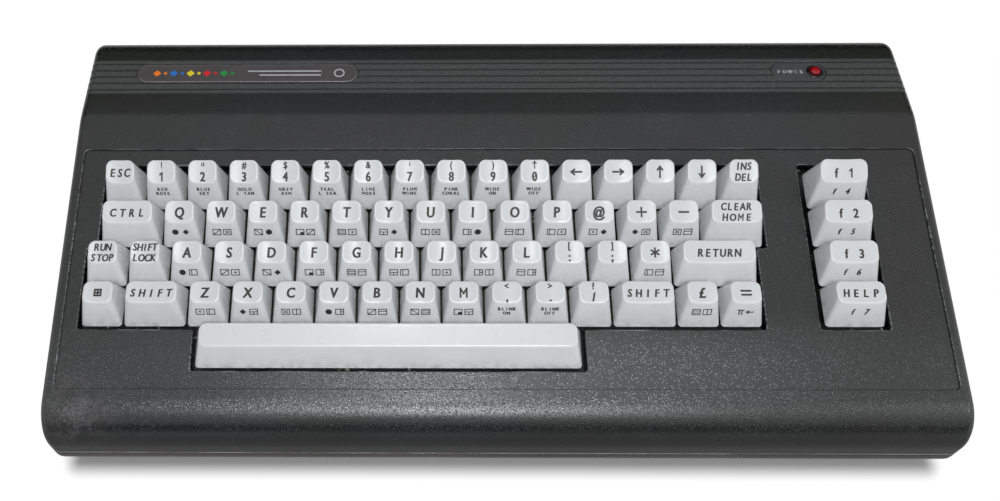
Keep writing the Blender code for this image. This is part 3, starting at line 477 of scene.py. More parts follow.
def shadedCase(tree, vector, colour):
    # Darker and greener toward the ends; painted shade low on the nose, and the darkest painted shade on the
    # roll at the back
    shadeAndWear = caseShadeSheenAndWear
    parts = addNode(tree, "ShaderNodeSeparateXYZ", Vector=vector).outputs
    across = remap(tree, maths(tree, "ABSOLUTE", parts["X"]), shadeAndWear["ends"] * halfWidth, halfWidth)
    along = remap(tree, parts["Y"], shadeAndWear["back"] * halfDepth, halfDepth)
    # Painted shade low on the nose, over the parting line
    low, high = (seamZ + height for height in shadeAndWear["noseFoot"])
    foot = remap(tree, parts["Z"], low, high, 1.0, 0.0)
    share = maths(tree, "MAXIMUM", times(tree, across, maths(tree, "ADD", along, 0.35)), foot)
    tinted = mixColour(tree, times(tree, share, 0.85, clamp=True), colour, caseLook["edgeColour"])
    # Painted shade on the roll at the back
    roll = remap(tree, parts["Y"], *(halfDepth - inset for inset in shadeAndWear["roll"]))
    tinted = mixColour(tree, times(tree, roll, 0.6), tinted, shadeAndWear["rollShadeColour"])
    # The ribbed band on the roof is paler, in noisy patches
    edges = [halfDepth - inset for inset in shadeAndWear["ribs"]]
    levels = [caseTop - drop for drop in shadeAndWear["ribsDrop"]]
    ribs = times(tree, remap(tree, parts["Y"], *edges[:2]), remap(tree, parts["Y"], *edges[2:], 1.0, 0.0),
                 remap(tree, parts["Z"], *levels))
    ribsPale = remap(tree, noise(tree, vector, 1500.0, 2.0, 0.6), 0.3, 0.7, 0.25, 0.6)
    tinted = mixColour(tree, times(tree, ribs, ribsPale), tinted, shadeAndWear["ribsPale"])
    # Painted sheen across the front of the deck and on the nose: a pale film, then pale specks as painted
    # glints
    fromFront = maths(tree, "ADD", parts["Y"], halfDepth)
    sheenBand = times(tree, remap(tree, fromFront, *shadeAndWear["sheenBand"][:2]),
                   remap(tree, fromFront, *shadeAndWear["sheenBand"][2:], 1.0, 0.0))
    fromCrest = maths(tree, "ABSOLUTE", maths(tree, "SUBTRACT", fromFront, shadeAndWear["crest"]))
    crest = remap(tree, fromCrest, *shadeAndWear["crestHalf"], 1.0, 0.0)
    # On the nose's crest the painted sheen lies farther to the left than on the deck
    across = maths(tree, "ADD", parts["X"], times(tree, crest, shadeAndWear["crestShift"]))
    aside = maths(tree, "ABSOLUTE", maths(tree, "SUBTRACT", across, shadeAndWear["middle"]))
    sheenBand = times(tree, sheenBand, remap(tree, aside, *shadeAndWear["middleHalf"], 1.0, 0.22))
    tinted = mixColour(tree, times(tree, sheenBand, shadeAndWear["film"]), tinted, caseLook["sheenColour"])
    # Painted glints: pale specks in the sheen, denser on the nose's crest
    distance, chance = cellDots(tree, vector, shadeAndWear["speckScale"])
    chance = maths(tree, "ADD", chance, times(tree, crest, 0.5))
    specks = times(tree, remap(tree, distance, *shadeAndWear["speckSize"], 1.0, 0.0),
                   remap(tree, chance, *shadeAndWear["speckChance"]), sheenBand, shadeAndWear["specks"])
    tinted = mixColour(tree, specks, tinted, caseLook["glintColour"])
    # The left front corner is scuffed
    near = nearPoints(tree, vector, [shadeAndWear["corner"]], shadeAndWear["cornerReach"])
    patches = remap(tree, noise(tree, vector, 110.0, 3.0, 0.6), 0.36, 0.62)
    streaks = remap(tree, noise(tree, vector, 900.0, 2.0, 0.6), 0.25, 0.75)
    scuff = times(tree, near, patches, streaks, shadeAndWear["cornerShare"], clamp=True)
    return mixColour(tree, scuff, tinted, caseLook["scuffColour"])


def makeCaseMaterials():
    shadeAndWear = caseShadeSheenAndWear
    shell, tree, shader, vector, aged = surface("case plastic", caseLook)
    tree.links.new(shadedCase(tree, vector, aged.outputs["Colour"]), shader.inputs["Base Color"])
    # The wells' rims are rubbed pale; the pale streaks along the deck's rim and the spots at its back corners
    # are a painted highlight
    worn, tree, shader, vector, aged = surface("rim wear and highlight", caseLook)
    rubbed = addGroup(tree, "rubbed", Vector=vector, Amount=shadeAndWear["lipAmount"])
    corners = [keysPlace @ Vector((side * (halfWidth - shadeAndWear["lipCorner"]), deckBackV, 0)) for side in (-1, 1)]
    near = nearPoints(tree, vector, corners, shadeAndWear["lipReach"])
    mask = maths(tree, "MAXIMUM", rubbed.outputs["Mask"], near)
    backRim = (keysPlace @ Vector((0, deckBackV, 0))).y
    depth = addNode(tree, "ShaderNodeSeparateXYZ", Vector=vector).outputs["Y"]
    calm = remap(tree, depth, *(backRim - span for span in shadeAndWear["backRim"]), *shadeAndWear["lipStrength"])
    rubbed = mixColour(tree, times(tree, mask, calm), aged.outputs["Colour"], caseLook["wearAndHighlightColour"])
    tree.links.new(rubbed, shader.inputs["Base Color"])
    # The strip over the parting line is pale grey, a painted highlight
    seam = surface("seam highlight", dict(caseLook, colour=rgb(172, 172, 177), blotch=rgb(104, 103, 105),
                                     blotchScale=42.0, roughness=0.4))[0]
    # The lower shell's brownish plastic is lighter than the upper shell: partly its own tone, partly painted
    # light bounced from the floor
    base = surface("base plastic and bounce", dict(caseLook, colour=rgb(66, 61, 60), blotch=rgb(52, 48, 46)))[0]
    return shell, worn, seam, base


def attribute(tree, name):
    return addNode(tree, "ShaderNodeAttribute", {"attribute_name": name}).outputs["Fac"]


def makeKeyMaterials():
    look = keyLook
    plastic, tree, shader, vector, aged = surface("key plastic", look)
    # Darker and browner toward the foot of the skirts, in patches
    patches = remap(tree, noise(tree, vector, 260.0, 3.0, 0.65), 0.3, 0.75)
    dirt = times(tree, attribute(tree, "towardFoot"), patches, look["dirtShare"], clamp=True)
    body = mixColour(tree, dirt, aged.outputs["Colour"], look["dirt"])
    # The dished tops are painted darker, a painted shade, and the edges round them keep the plain colour
    greyed = times(tree, attribute(tree, "topShade"), look["topShadeShare"])
    tree.links.new(mixColour(tree, greyed, body, look["topShadeColour"]), shader.inputs["Base Color"])
    setInputs(shader, Coat_Weight=0.15, Coat_Roughness=0.12)
    inks = []
    for name, colour in (("key ink", look["ink"]), ("front ink", look["frontInk"])):
        faded = {"colour": colour, "blotch": toned(colour, 1.35), "blotchScale": 500.0, "roughness": 0.5,
                 "grain": 0.05}
        inks.append(surface(name, faded)[0])
    return [plastic] + inks


print("groups and looks ready")

casePlastic, rimWearAndHighlight, seamHighlight, basePlasticAndBounce = makeCaseMaterials()
keyMaterials = makeKeyMaterials()


# Camera, floor and light

view = {
    "place": (0.1458, -0.1341, 0.4198),   # in the keys' own frame, from the left end of their first row
    "tilt": 69.15,
    "turn": -2.27,
    "roll": -2.13,
    "lens": 35.19,
    "shift": (0.0976, 0.0034),
}


def makeCamera():
    data = bpy.data.cameras.new("camera")
    data.lens = view["lens"]
    data.sensor_width = 36
    data.shift_x, data.shift_y = view["shift"]
    data.clip_start, data.clip_end = 0.01, 50
    tilt, turn, roll = (math.radians(view[name]) for name in ("tilt", "turn", "roll"))
    ahead = Vector((math.sin(turn) * math.cos(tilt), math.cos(turn) * math.cos(tilt), -math.sin(tilt)))
    level = Vector((math.cos(turn), -math.sin(turn), 0))
    above = level.cross(ahead)
    right = math.cos(roll) * level + math.sin(roll) * above
    up = math.cos(roll) * above - math.sin(roll) * level
    axes = Matrix((right, up, -ahead)).transposed().to_4x4()
    camera = bpy.data.objects.new("camera", data)
    firstKey = Vector((-halfWidth + keyboard["leftBorder"], 0, 0))
    camera.matrix_world = keysPlace @ Matrix.Translation(firstKey + Vector(view["place"])) @ axes
    scene.collection.objects.link(camera)
    scene.camera = camera


studio = {
    "floorColour": rgb(172, 172, 172),
    "floorGlow": 0.72,
    "floorStrength": 1.27,
    # Near the case the floor's glow fades, which paints a darker floor round the footprint: a painted shadow
    # with the real shadow in it
    "footprint": (0.009, 0.012),          # inset of the case's footprint along X and Y
    "footprintShift": 0.010,              # to the front
    "shadowReach": 0.010,                 # the glow is full this far from the footprint
    "reflectedReach": 0.350,              # and this far in reflections, a painted dark reflection of the floor
    "cardColour": rgb(16, 16, 16),
    "worldLight": 0.38,
    "lamps": [
        # name, place, target, size along X, size along Y, power
        ("overhead softbox", (-0.04, -0.10, 1.32), (0.0, -0.05, 0.03), 0.24, 0.34, 2.8),
        ("front softbox", (0.05, -0.82, 1.36), (0.0, -0.06, 0.03), 0.60, 0.60, 10.5),
        ("side softbox", (1.10, -0.45, 1.00), (0.0, 0.0, 0.03), 0.50, 0.50, 2.4),
    ],
    # Dark cards behind and in front, seen in reflections only
    "cards": [((-2.5, 1.1, 0.02), (2.5, 1.1, 1.45)), ((-2.5, -2.2, 0.02), (2.5, -2.2, 0.95))],
}


def makeWorld():
    world = bpy.data.worlds.new("studio")
    scene.world = world
    world.use_nodes = True
    tree = world.node_tree
    path = tree.nodes.new("ShaderNodeLightPath").outputs
    seen = maths(tree, "MAXIMUM", path["Is Camera Ray"], path["Is Glossy Ray"])
    seen = maths(tree, "MAXIMUM", seen, path["Is Transmission Ray"])
    tree.nodes["Background"].inputs["Color"].default_value = (1, 1, 1, 1)
    tree.links.new(remap(tree, seen, 0.0, 1.0, studio["worldLight"], 1.0),
                   tree.nodes["Background"].inputs["Strength"])


def makeFloor():
    material, tree, shader, vector = newMaterial("floor")
    setInputs(shader, Base_Color=studio["floorColour"], Roughness=0.9, Specular_IOR_Level=0.0)
    glow = addNode(tree, "ShaderNodeEmission", Color=(1, 1, 1, 1), Strength=studio["floorStrength"])
    # The glow fades toward the case, so that the real shadow beside it stays; the darker floor round the
    # footprint is also a painted shadow, and in reflections a painted dark floor near the case
    parts = addNode(tree, "ShaderNodeSeparateXYZ", Vector=vector).outputs
    insetX, insetY = studio["footprint"]
    across = maths(tree, "SUBTRACT", maths(tree, "ABSOLUTE", parts["X"]), halfWidth - insetX)
    along = maths(tree, "ABSOLUTE", maths(tree, "ADD", parts["Y"], studio["footprintShift"]))
    along = maths(tree, "SUBTRACT", along, halfDepth - insetY)
    gaps = [maths(tree, "MAXIMUM", gap, 0.0) for gap in (across, along)]
    away = maths(tree, "SQRT", maths(tree, "ADD", *[times(tree, gap, gap) for gap in gaps]))
    path = tree.nodes.new("ShaderNodeLightPath").outputs
    seen = times(tree, path["Is Camera Ray"], remap(tree, away, 0.0, studio["shadowReach"]))
    mirrored = maths(tree, "MAXIMUM", path["Is Glossy Ray"], path["Is Transmission Ray"])
    mirrored = times(tree, mirrored, remap(tree, away, 0.0, studio["reflectedReach"]))
    share = times(tree, maths(tree, "MAXIMUM", seen, mirrored), studio["floorGlow"])
    mixed = addNode(tree, "ShaderNodeMixShader", _0=share, _1=shader.outputs["BSDF"],
                    _2=glow.outputs["Emission"])
    tree.links.new(mixed.outputs["Shader"], tree.nodes["Material Output"].inputs["Surface"])
    bm = bmesh.new()
    bmesh.ops.create_grid(bm, x_segments=1, y_segments=1, size=4)
    return newObject("floor", bm, [material], smooth=0)


def makeCards():
    bm = bmesh.new()
    for (left, y, bottom), (right, _, top) in studio["cards"]:
        places = ((left, y, bottom), (right, y, bottom), (right, y, top), (left, y, top))
        bm.faces.new([bm.verts.new(place) for place in places])
    black, _, shader, _ = newMaterial("black card")
    setInputs(shader, Base_Color=studio["cardColour"], Specular_IOR_Level=0.0)
    cards = newObject("cards", bm, [black], smooth=0)
    cards.visible_camera = cards.visible_diffuse = cards.visible_shadow = False
    return cards


def makeLamps():
    for name, place, target, sizeX, sizeY, power in studio["lamps"]:
        light = bpy.data.lights.new(name, "AREA")
        light.shape = "ELLIPSE"
        light.size, light.size_y = sizeX, sizeY
        light.energy = power
        obj = bpy.data.objects.new(name, light)
        turn = (Vector(target) - Vector(place)).to_track_quat("-Z", "Y").to_matrix().to_4x4()
        obj.matrix_world = Matrix.Translation(place) @ turn
        scene.collection.objects.link(obj)


makeCamera()
makeWorld()
floor, cards = makeFloor(), makeCards()
makeLamps()
scene.view_settings.view_transform = "Standard"
print("camera and studio ready")


# Keyboard layout, in shares of the key pitch: node, width, words on the top, mark on the front

layout = {
    1: (0, [("key_escape", 1, "ESC", "")]
        + [("number_keys", 1, pair, words) for pair, words in (
            ("!1", "RED/ROSE"), ("\"2", "BLUE/SKY"), ("#3", "GOLD/L TAN"), ("$4", "GREY/ASH"),
            ("%5", "TEAL/L SEA"), ("&6", "LIME/MOSS"), ("'7", "PLUM/WINE"), ("(8", "PINK/CORAL"),
            (")9", "WIDE/ON"), ("^0", "WIDE/OFF"))]
        + [("key_left", 1, "<-", ""), ("key_right", 1, "->", ""), ("key_up", 1, "^-", ""),
           ("key_down", 1, "v-", ""), ("key_delete", 1, "INS/DEL", "")]),
    2: (0, [("key_control", 1.5, "CTRL", "")]
        + [("upper_letters_left", 1, letter, "box") for letter in "QWERT"]
        + [("upper_letters_right", 1, letter, "box") for letter in "YUIOP@+-"]
        + [("key_home", 1.5, "CLEAR/HOME", "")]),
    3: (-0.25, [("key_stop", 1, "RUN/STOP", ""), ("key_shift_lock", 1, "SHIFT/LOCK", "")]
        + [("home_letters_left", 1, letter, "box") for letter in "ASDFG"]
        + [("home_letters_right", 1, letter, "box") for letter in "HJKL"]
        + [("home_letters_right", 1, "[:", ""), ("home_letters_right", 1, "];", ""),
           ("home_letters_right", 1, "*", "box"), ("key_return", 2, "RETURN", "")]),
    4: (-0.25, [("key_symbol", 1, "o.", ""), ("key_shift_left", 1.5, "SHIFT", "")]
        + [("lower_letters", 1, letter, "box") for letter in "ZXCVBNM"]
        + [("lower_letters", 1, "<,", "BLINK/ON"), ("lower_letters", 1, ">.", "BLINK/OFF"),
           ("lower_letters", 1, "?/", ""), ("key_shift_right", 1.5, "SHIFT", ""),
           ("key_pound", 1, "£", "box"), ("key_equals", 1, "=", "p<")]),
    5: (2.5, [("space_bar", 9, "", "")]),
}
functionKeys = {1: ("key_f1", "f 1", "f 4"), 2: ("key_f2", "f 2", "f 5"), 3: ("key_f3", "f 3", "f 6"),
                4: ("key_help", "HELP", "f 7")}


def unitX(share):
    return -halfWidth + keyboard["leftBorder"] + share * keyboard["pitch"]


def rowV(row):
    return (keyboard["rowCount"] - 1 - row) * keyboard["pitch"]


def rowEnds(row):
    start, keys = layout[row]
    return start, start + sum(key[1] for key in keys)


# Upper shell

shellValues = {
    "noseSteps": 24,
    "seamHighlight": 0.0013,            # height of the upright strip over the parting line, painted pale as a highlight
    "seamEdgeDepth": 0.0008,
    "backSteps": 16,
    "creaseSoft": 0.0015,
    "deckRim": 0.0058,             # left standing at each end of the sunk deck
    "deckFrontFromFront": 0.0200,  # the deck's front edge, from the case's front
    "deckDrop": 0.0003,            # below the keys' plane
    "deckCorner": 0.0022,
    "deckLip": 0.00045,
    "lip": 0.0006,                 # rounding of the wells' rims
    "wellCorner": 0.0011,
    "wellSide": 0.0017,            # room between the well and its keys
    "wellFront": 0.0007,
    "wellBack": 0.0041,
    "functionWellLeft": 0.0012,
    "functionWellRight": 0.0024,
    "grooveCount": 5,
    "groovePitch": 0.0042,
    "grooveFromBack": 0.0196,
    "grooveDrop": 0.0065,
    # Across a groove: place along Y and depth
    "grooveShape": [(-0.00085, -0.0005), (-0.00062, 0.00010), (-0.00050, 0.00030), (-0.00045, 0.00100),
                    (0.00045, 0.00100), (0.00050, 0.00030), (0.00062, 0.00010), (0.00085, -0.0005)],
    "plateGap": 0.0003,            # round the badge, the bezel and other pieces set into the shell
    "bossRadius": 0.0042,          # of the screw bosses under the roof
    "screwInset": 0.0615,
    "screwFromFront": 0.0180,
    "towerHeight": 0.0120,         # of the screw towers on the lower shell
}

socket = {
    "wideRadius": 0.0066,
    "narrowRadius": 0.0047,
    "wideDepth": 0.0100,
    "narrowDepth": 0.0090,
    "margin": 0.0020,              # of the shells' cut-outs round a socket
    "rockerHalf": 0.0092,
    "rockerPlay": 0.0008,
    "rockerThickness": 0.0104,
    "buttonRadius": 0.0027,
    "sleeveRadius": 0.0042,
}


def middleOf(node):
    low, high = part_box(node)
    return (low + high) / 2


def alongX(outline, reach):
    return [[(x, y, z) for y, z in outline] for x in (-reach, reach)]


def upperOutline(inset):
    noseY = -halfDepth + case["noseRadius"]
    noseZ = caseTop + (noseY - creaseY) * math.tan(case["slope"]) - case["noseRadius"] / slopeCos
    soft = shellValues["creaseSoft"]
    points = [(-halfDepth + inset, seamZ), (-halfDepth + inset, seamZ + shellValues["seamHighlight"])]
    points += arc((noseY, noseZ), case["noseRadius"] - inset, 180, 90 + math.degrees(case["slope"]),
                  shellValues["noseSteps"])
    turn = inset * math.tan(case["slope"] / 2)
    points.append((creaseY + turn - soft, caseTop - inset - soft * math.tan(case["slope"])))
    points.append((creaseY + turn + soft, caseTop - inset))
    radius = case["backRadius"]
    points += arc((halfDepth - radius, caseTop - radius), radius - inset, 90, 0, shellValues["backSteps"])
    points.append((halfDepth - inset, seamZ))
    return points


def bevelEdges(bm, edges, offset, segments):
    bmesh.ops.bevel(bm, geom=edges, offset=offset, offset_type="OFFSET", segments=segments, profile=0.5,
                    affect="EDGES", material=-1, clamp_overlap=False)


def roundEnds(bm, openZ):
    # The end profile is rounded, then the rim along the parting line
    near = 1e-5

    def onRim(edge):
        return all(abs(vert.co.z - openZ) < near for vert in edge.verts)

    ends = [edge for edge in bm.edges
            if all(abs(abs(vert.co.x) - halfWidth) < near for vert in edge.verts)
            and abs(edge.verts[0].co.x - edge.verts[1].co.x) < near and not onRim(edge)]
    bevelEdges(bm, ends, case["endRadius"], case["endSteps"])
    bevelEdges(bm, [edge for edge in bm.edges if onRim(edge)], case["seamRound"], 2)


def hollowOut(shell, outline, reach, posts):
    # Cuts the inside out of a shell, less the posts that stand in it
    hollow = newObject("hollow", loft(bmesh.new(), alongX(outline, reach)), smooth=0)
    cut(hollow, posts)
    inside = bmesh.new()
    inside.from_mesh(hollow.data)
    bpy.data.objects.remove(hollow)
    cut(shell, inside)


def groovePath(depth):
    steps = case["endSteps"]
    radius = case["endRadius"] - depth
    reach = halfWidth - case["endRadius"]
    bottom = caseTop - shellValues["grooveDrop"]
    out = case["overrun"]
    points = [(-halfWidth + depth, bottom)]
    points += arc((-reach, caseTop - case["endRadius"]), radius, 180, 90, steps)
    points += arc((reach, caseTop - case["endRadius"]), radius, 90, 0, steps)
    points += [(halfWidth - depth, bottom), (halfWidth + out, bottom), (halfWidth + out, caseTop + out),
               (-halfWidth - out, caseTop + out), (-halfWidth - out, bottom)]
    return points


def mainWell():
    side = shellValues["wellSide"]
    half = keyboard["pitch"] / 2
    front4 = rowV(4) - half - shellValues["wellFront"]
    front5 = rowV(5) - half - shellValues["wellFront"]
    middle = (rowV(2) + rowV(3)) / 2
    back = rowV(1) + half + shellValues["wellBack"]
    left = {row: unitX(rowEnds(row)[0]) - side for row in (1, 4, 5)}
    right = {row: unitX(rowEnds(row)[1]) + side for row in (1, 4, 5)}
    return [(left[4], front4), (left[5], front4), (left[5], front5), (right[5], front5), (right[5], front4),
            (right[4], front4), (right[4], middle), (right[1], middle), (right[1], back), (left[1], back),
            (left[1], middle), (left[4], middle)]


def functionWell():
    left = unitX(keyboard["functionShare"]) - shellValues["functionWellLeft"]
    right = unitX(keyboard["functionShare"] + keyboard["functionWidth"]) + shellValues["functionWellRight"]
    front = rowV(4) - keyboard["pitch"] / 2 - shellValues["wellFront"]
    back = rowV(1) + keyboard["pitch"] / 2 + shellValues["wellBack"]
    return [(left, front), (right, front), (right, back), (left, back)]


def flared(bm, corners, radius, deep, top, lip, steps=4):
    # A cutter that opens out at the top, which leaves a rounded lip
    rings = [ring(rounded(corners, radius), deep)]
    for step in range(steps + 1):
        angle = math.radians(90) * step / steps
        outline = rounded(corners, radius, lip * (1 - math.cos(angle)))
        rings.append(ring(outline, top - lip * (1 - math.sin(angle))))
    rings.append(ring(rounded(corners, radius, lip), top + case["overrun"]))
    loft(bm, rings)


def flaredStadium(bm, centre, length, height, deep, top, lip=0.0003):
    steps = [(0.0, deep), (0.0, top - lip), (-lip / 3, top - lip / 3), (-lip, top), (-lip, top + lip)]
    loft(bm, [ring(stadium(centre, length, height, inset), level) for inset, level in steps])


def socketHoles(bm):
    # Cut-outs for everything at the back and on the right side
    out = case["overrun"]
    innerBack, outerBack = halfDepth - case["roof"] - out, halfDepth + out
    innerRight, outerRight = halfWidth - case["roof"] - out, halfWidth + out
    margin, gap = socket["margin"], shellValues["plateGap"]
    wide, narrow = socket["wideRadius"] + margin, socket["narrowRadius"] + margin
    video, cassette = middleOf("video_port"), middleOf("cassette_port")
    block(bm, (cassette.x - narrow, innerBack, video.z - wide), (video.x + wide, outerBack, video.z + wide))
    low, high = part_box("expansion_port")
    block(bm, (low.x - margin, innerBack, low.z), (high.x + margin, outerBack, high.z + margin))
    can = middleOf("rf_modulator")
    rod(bm, socket["sleeveRadius"] + margin, (can.x, innerBack, can.z), (can.x, outerBack, can.z), 40)
    power, switch, button = middleOf("power_socket"), middleOf("power_switch"), middleOf("reset_button")
    block(bm, (innerRight, power.y - wide, power.z - wide), (outerRight, power.y + wide, power.z + wide))
    first, second = middleOf("joystick_port_1"), middleOf("joystick_port_2")
    block(bm, (innerRight, second.y - narrow, first.z - narrow),
          (outerRight, first.y + narrow, first.z + narrow))
    reach, half = socket["rockerHalf"] + socket["rockerPlay"], socket["rockerThickness"] / 2 + gap
    block(bm, (innerRight, switch.y - reach, switch.z - half),
          (outerRight, switch.y + reach, switch.z + half))
    rod(bm, socket["buttonRadius"] + gap, (innerRight, button.y, button.z),
        (outerRight, button.y, button.z), 32)


def screwPlaces():
    reach = halfWidth - shellValues["screwInset"]
    return [(x, -halfDepth + shellValues["screwFromFront"]) for x in (-reach, 0.0, reach)]


def makeUpperShell():
    values = shellValues
    out, roof, gap = case["overrun"], case["roof"], shellValues["plateGap"]
    bm = loft(bmesh.new(), alongX(upperOutline(0), halfWidth))
    bmesh.ops.recalc_face_normals(bm, faces=bm.faces)
    roundEnds(bm, seamZ)
    shell = newObject("upper_shell", bm, [casePlastic, rimWearAndHighlight, seamHighlight], smooth=0)

    grooves = bmesh.new()
    for number in range(values["grooveCount"]):
        y = halfDepth - values["grooveFromBack"] - number * values["groovePitch"]
        loft(grooves, [[(x, y + shift, z) for x, z in groovePath(depth)]
                       for shift, depth in values["grooveShape"]])
    cut(shell, grooves)

    outline = upperOutline(roof)
    for end in (0, -1):
        outline[end] = (outline[end][0], seamZ - out)
    bosses = bmesh.new()
    for x, y in screwPlaces():
        rod(bosses, values["bossRadius"], (x, y, lowerLow.z + values["towerHeight"] + gap), (x, y, caseTop))
    hollowOut(shell, outline, halfWidth - roof, bosses)

    deck = bmesh.new()
    front = (values["deckFrontFromFront"] - halfDepth - keysPlace.translation.y) / slopeCos
    reach = halfWidth - values["deckRim"]
    corners = [(-reach, front), (reach, front), (reach, deckBackV), (-reach, deckBackV)]
    flared(deck, corners, values["deckCorner"], -values["deckDrop"], keyboard["rimRise"], values["deckLip"])
    # The deck's rim at the back and the ends takes the rim's pale streaks, a painted highlight
    for face in deck.faces:
        middle = face.calc_center_median()
        if 0 < middle.z < keyboard["rimRise"] and middle.y > front + 0.001:
            face.material_index = 1
    bmesh.ops.transform(deck, matrix=keysPlace, verts=deck.verts)
    cut(shell, deck)

    wells = bmesh.new()
    top = -values["deckDrop"]
    for corners in (mainWell(), functionWell()):
        flared(wells, corners, values["wellCorner"], -roof - 2 * out, top, values["lip"])
    # The wells' rims take the rim's pale streaks of rubbing
    for face in wells.faces:
        if top - values["lip"] < face.calc_center_median().z < top:
            face.material_index = 1
    bmesh.ops.transform(wells, matrix=keysPlace, verts=wells.verts)
    cut(shell, wells)

    plates = bmesh.new()
    for node in ("badge_plate", "led_bezel"):
        low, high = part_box(node)
        flaredStadium(plates, ((low.x + high.x) / 2, (low.y + high.y) / 2), high.x - low.x + 2 * gap,
                      high.y - low.y + 2 * gap, low.z - gap, caseTop)
    cut(shell, plates)
    holes = bmesh.new()
    middle, (low, high) = middleOf("led_holder"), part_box("led_holder")
    rod(holes, (high.x - low.x) / 2 + gap, (middle.x, middle.y, caseTop - roof - out),
        (middle.x, middle.y, caseTop + out), 40)
    socketHoles(holes)
    cut(shell, holes)
    # The upright strip over the parting line takes the seam's pale colour, a painted highlight
    for face in shell.data.polygons:
        near = face.center.y < -halfDepth + values["seamEdgeDepth"]
        if near and face.center.z < seamZ + values["seamHighlight"]:
            face.material_index = 2
    shade(shell, 40)
    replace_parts(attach(shell, "case"), "upper_case")


# Lower shell

baseValues = {
    "frontRadius": 0.0105,
    "backRadius": 0.006,
    "towerRadius": 0.0050,
    "headRadius": 0.0035,
    "headDepth": 0.0060,
    "shankRadius": 0.0018,
    "ventCount": 16,
    "ventPitch": 0.0065,
    "ventLength": 0.030,
    "ventWidth": 0.0024,
    "ventY": 0.045,
}


def lowerOutline(inset, top):
    values = baseValues
    base = lowerLow.z
    points = [(-halfDepth + inset, top)]
    points += arc((-halfDepth + values["frontRadius"], base + values["frontRadius"]),
                  values["frontRadius"] - inset, 180, 270, 12)
    points += arc((halfDepth - values["backRadius"], base + values["backRadius"]),
                  values["backRadius"] - inset, 270, 360, 8)
    points.append((halfDepth - inset, top))
    return points


def makeLowerShell():
    values = baseValues
    base, top = lowerLow.z, lowerHigh.z
    out, wall = case["overrun"], case["wall"]
    bm = loft(bmesh.new(), alongX(lowerOutline(0, top), halfWidth))
    bmesh.ops.recalc_face_normals(bm, faces=bm.faces)
    roundEnds(bm, top)
    shell = newObject("lower_shell", bm, [basePlasticAndBounce], smooth=0)
    towers = bmesh.new()
    for x, y in screwPlaces():
        rod(towers, values["towerRadius"], (x, y, base), (x, y, base + shellValues["towerHeight"]))
    hollowOut(shell, lowerOutline(wall, top + out), halfWidth - wall, towers)
    holes = bmesh.new()
    socketHoles(holes)
    cut(shell, holes)
    heads, shanks = bmesh.new(), bmesh.new()
    for x, y in screwPlaces():
        rod(heads, values["headRadius"], (x, y, base - out), (x, y, base + values["headDepth"]), 32)
        rod(shanks, values["shankRadius"], (x, y, base), (x, y, top + out), 20)
    outline = stadium((0, 0), values["ventLength"], values["ventWidth"], steps=8)
    for number in range(values["ventCount"]):
        x = (number - (values["ventCount"] - 1) / 2) * values["ventPitch"]
        loft(heads, [[(x - py, values["ventY"] + px, level) for px, py in outline]
                     for level in (base - out, base + wall + out)])
    cut(shell, heads)
    cut(shell, shanks)
    shade(shell, 40)
    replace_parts(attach(shell, "case"), "lower_case")


makeUpperShell()
makeLowerShell()
print("shells ready")


# Letters and marks, as thin closed solids one unit tall

letterValues = {
    "capShare": 0.69,              # height of a capital in the font's own size
    "thickness": 0.012,
    "curveSteps": 3,
    "narrow": 0.80,
    "bold": 0.022,
    "spread": 0.038,               # sideways, of the two copies of a letter
    "heavySpread": 0.060,
    "strokeWidth": 0.17,           # of the marks that are drawn from strokes
}
letterMeshes = {}
# Strokes from (x, y) to (x, y)
strokeMarks = {
    "^": [(0, -0.5, 0, 0.5), (0, 0.5, -0.24, 0.2), (0, 0.5, 0.24, 0.2)],
    "<-": [(-0.5, 0, 0.5, 0), (-0.5, 0, -0.2, 0.24), (-0.5, 0, -0.2, -0.24)],
    "->": [(-0.5, 0, 0.5, 0), (0.5, 0, 0.2, 0.24), (0.5, 0, 0.2, -0.24)],
    "^-": [(0, -0.5, 0, 0.5), (0, 0.5, -0.24, 0.2), (0, 0.5, 0.24, 0.2)],
    "v-": [(0, -0.5, 0, 0.5), (0, -0.5, -0.24, -0.2), (0, -0.5, 0.24, -0.2)],
    "\"": [(-0.15, -0.1, -0.15, 0.3), (0.15, -0.1, 0.15, 0.3)],
    "'": [(0, -0.1, 0, 0.3)],
    "!": [(0, -0.08, 0, 0.42), (0, -0.38, 0, -0.34)],
    "M": [(-0.3, -0.43, -0.3, 0.43), (-0.3, 0.43, 0, -0.08), (0, -0.08, 0.3, 0.43), (0.3, 0.43, 0.3, -0.43)],
    "-": [(-0.44, 0, 0.44, 0)],
    "+": [(-0.44, 0, 0.44, 0), (0, -0.42, 0, 0.42)],
    "=": [(-0.44, 0.2, 0.44, 0.2), (-0.40, -0.2, 0.44, -0.2)],
    "*": [(0, -0.4, 0, 0.4), (-0.35, -0.2, 0.35, 0.2), (-0.35, 0.2, 0.35, -0.2)],
    "1": [(0.06, -0.43, 0.06, 0.43), (0.06, 0.43, -0.16, 0.24)],
    "p": [(-0.4, 0.35, 0.4, 0.35), (-0.18, 0.35, -0.22, -0.4), (0.18, 0.35, 0.2, -0.4)],
    "o.": [(-0.3, -0.3, 0.3, -0.3), (-0.3, 0.3, 0.3, 0.3), (-0.3, -0.3, -0.3, 0.3), (0.3, -0.3, 0.3, 0.3),
           (-0.12, 0, 0.12, 0), (0, -0.12, 0, 0.12)],
}


def finishedMesh(name, bm):
    mesh = bpy.data.meshes.new(name)
    bm.to_mesh(mesh)
    bm.free()
    return mesh


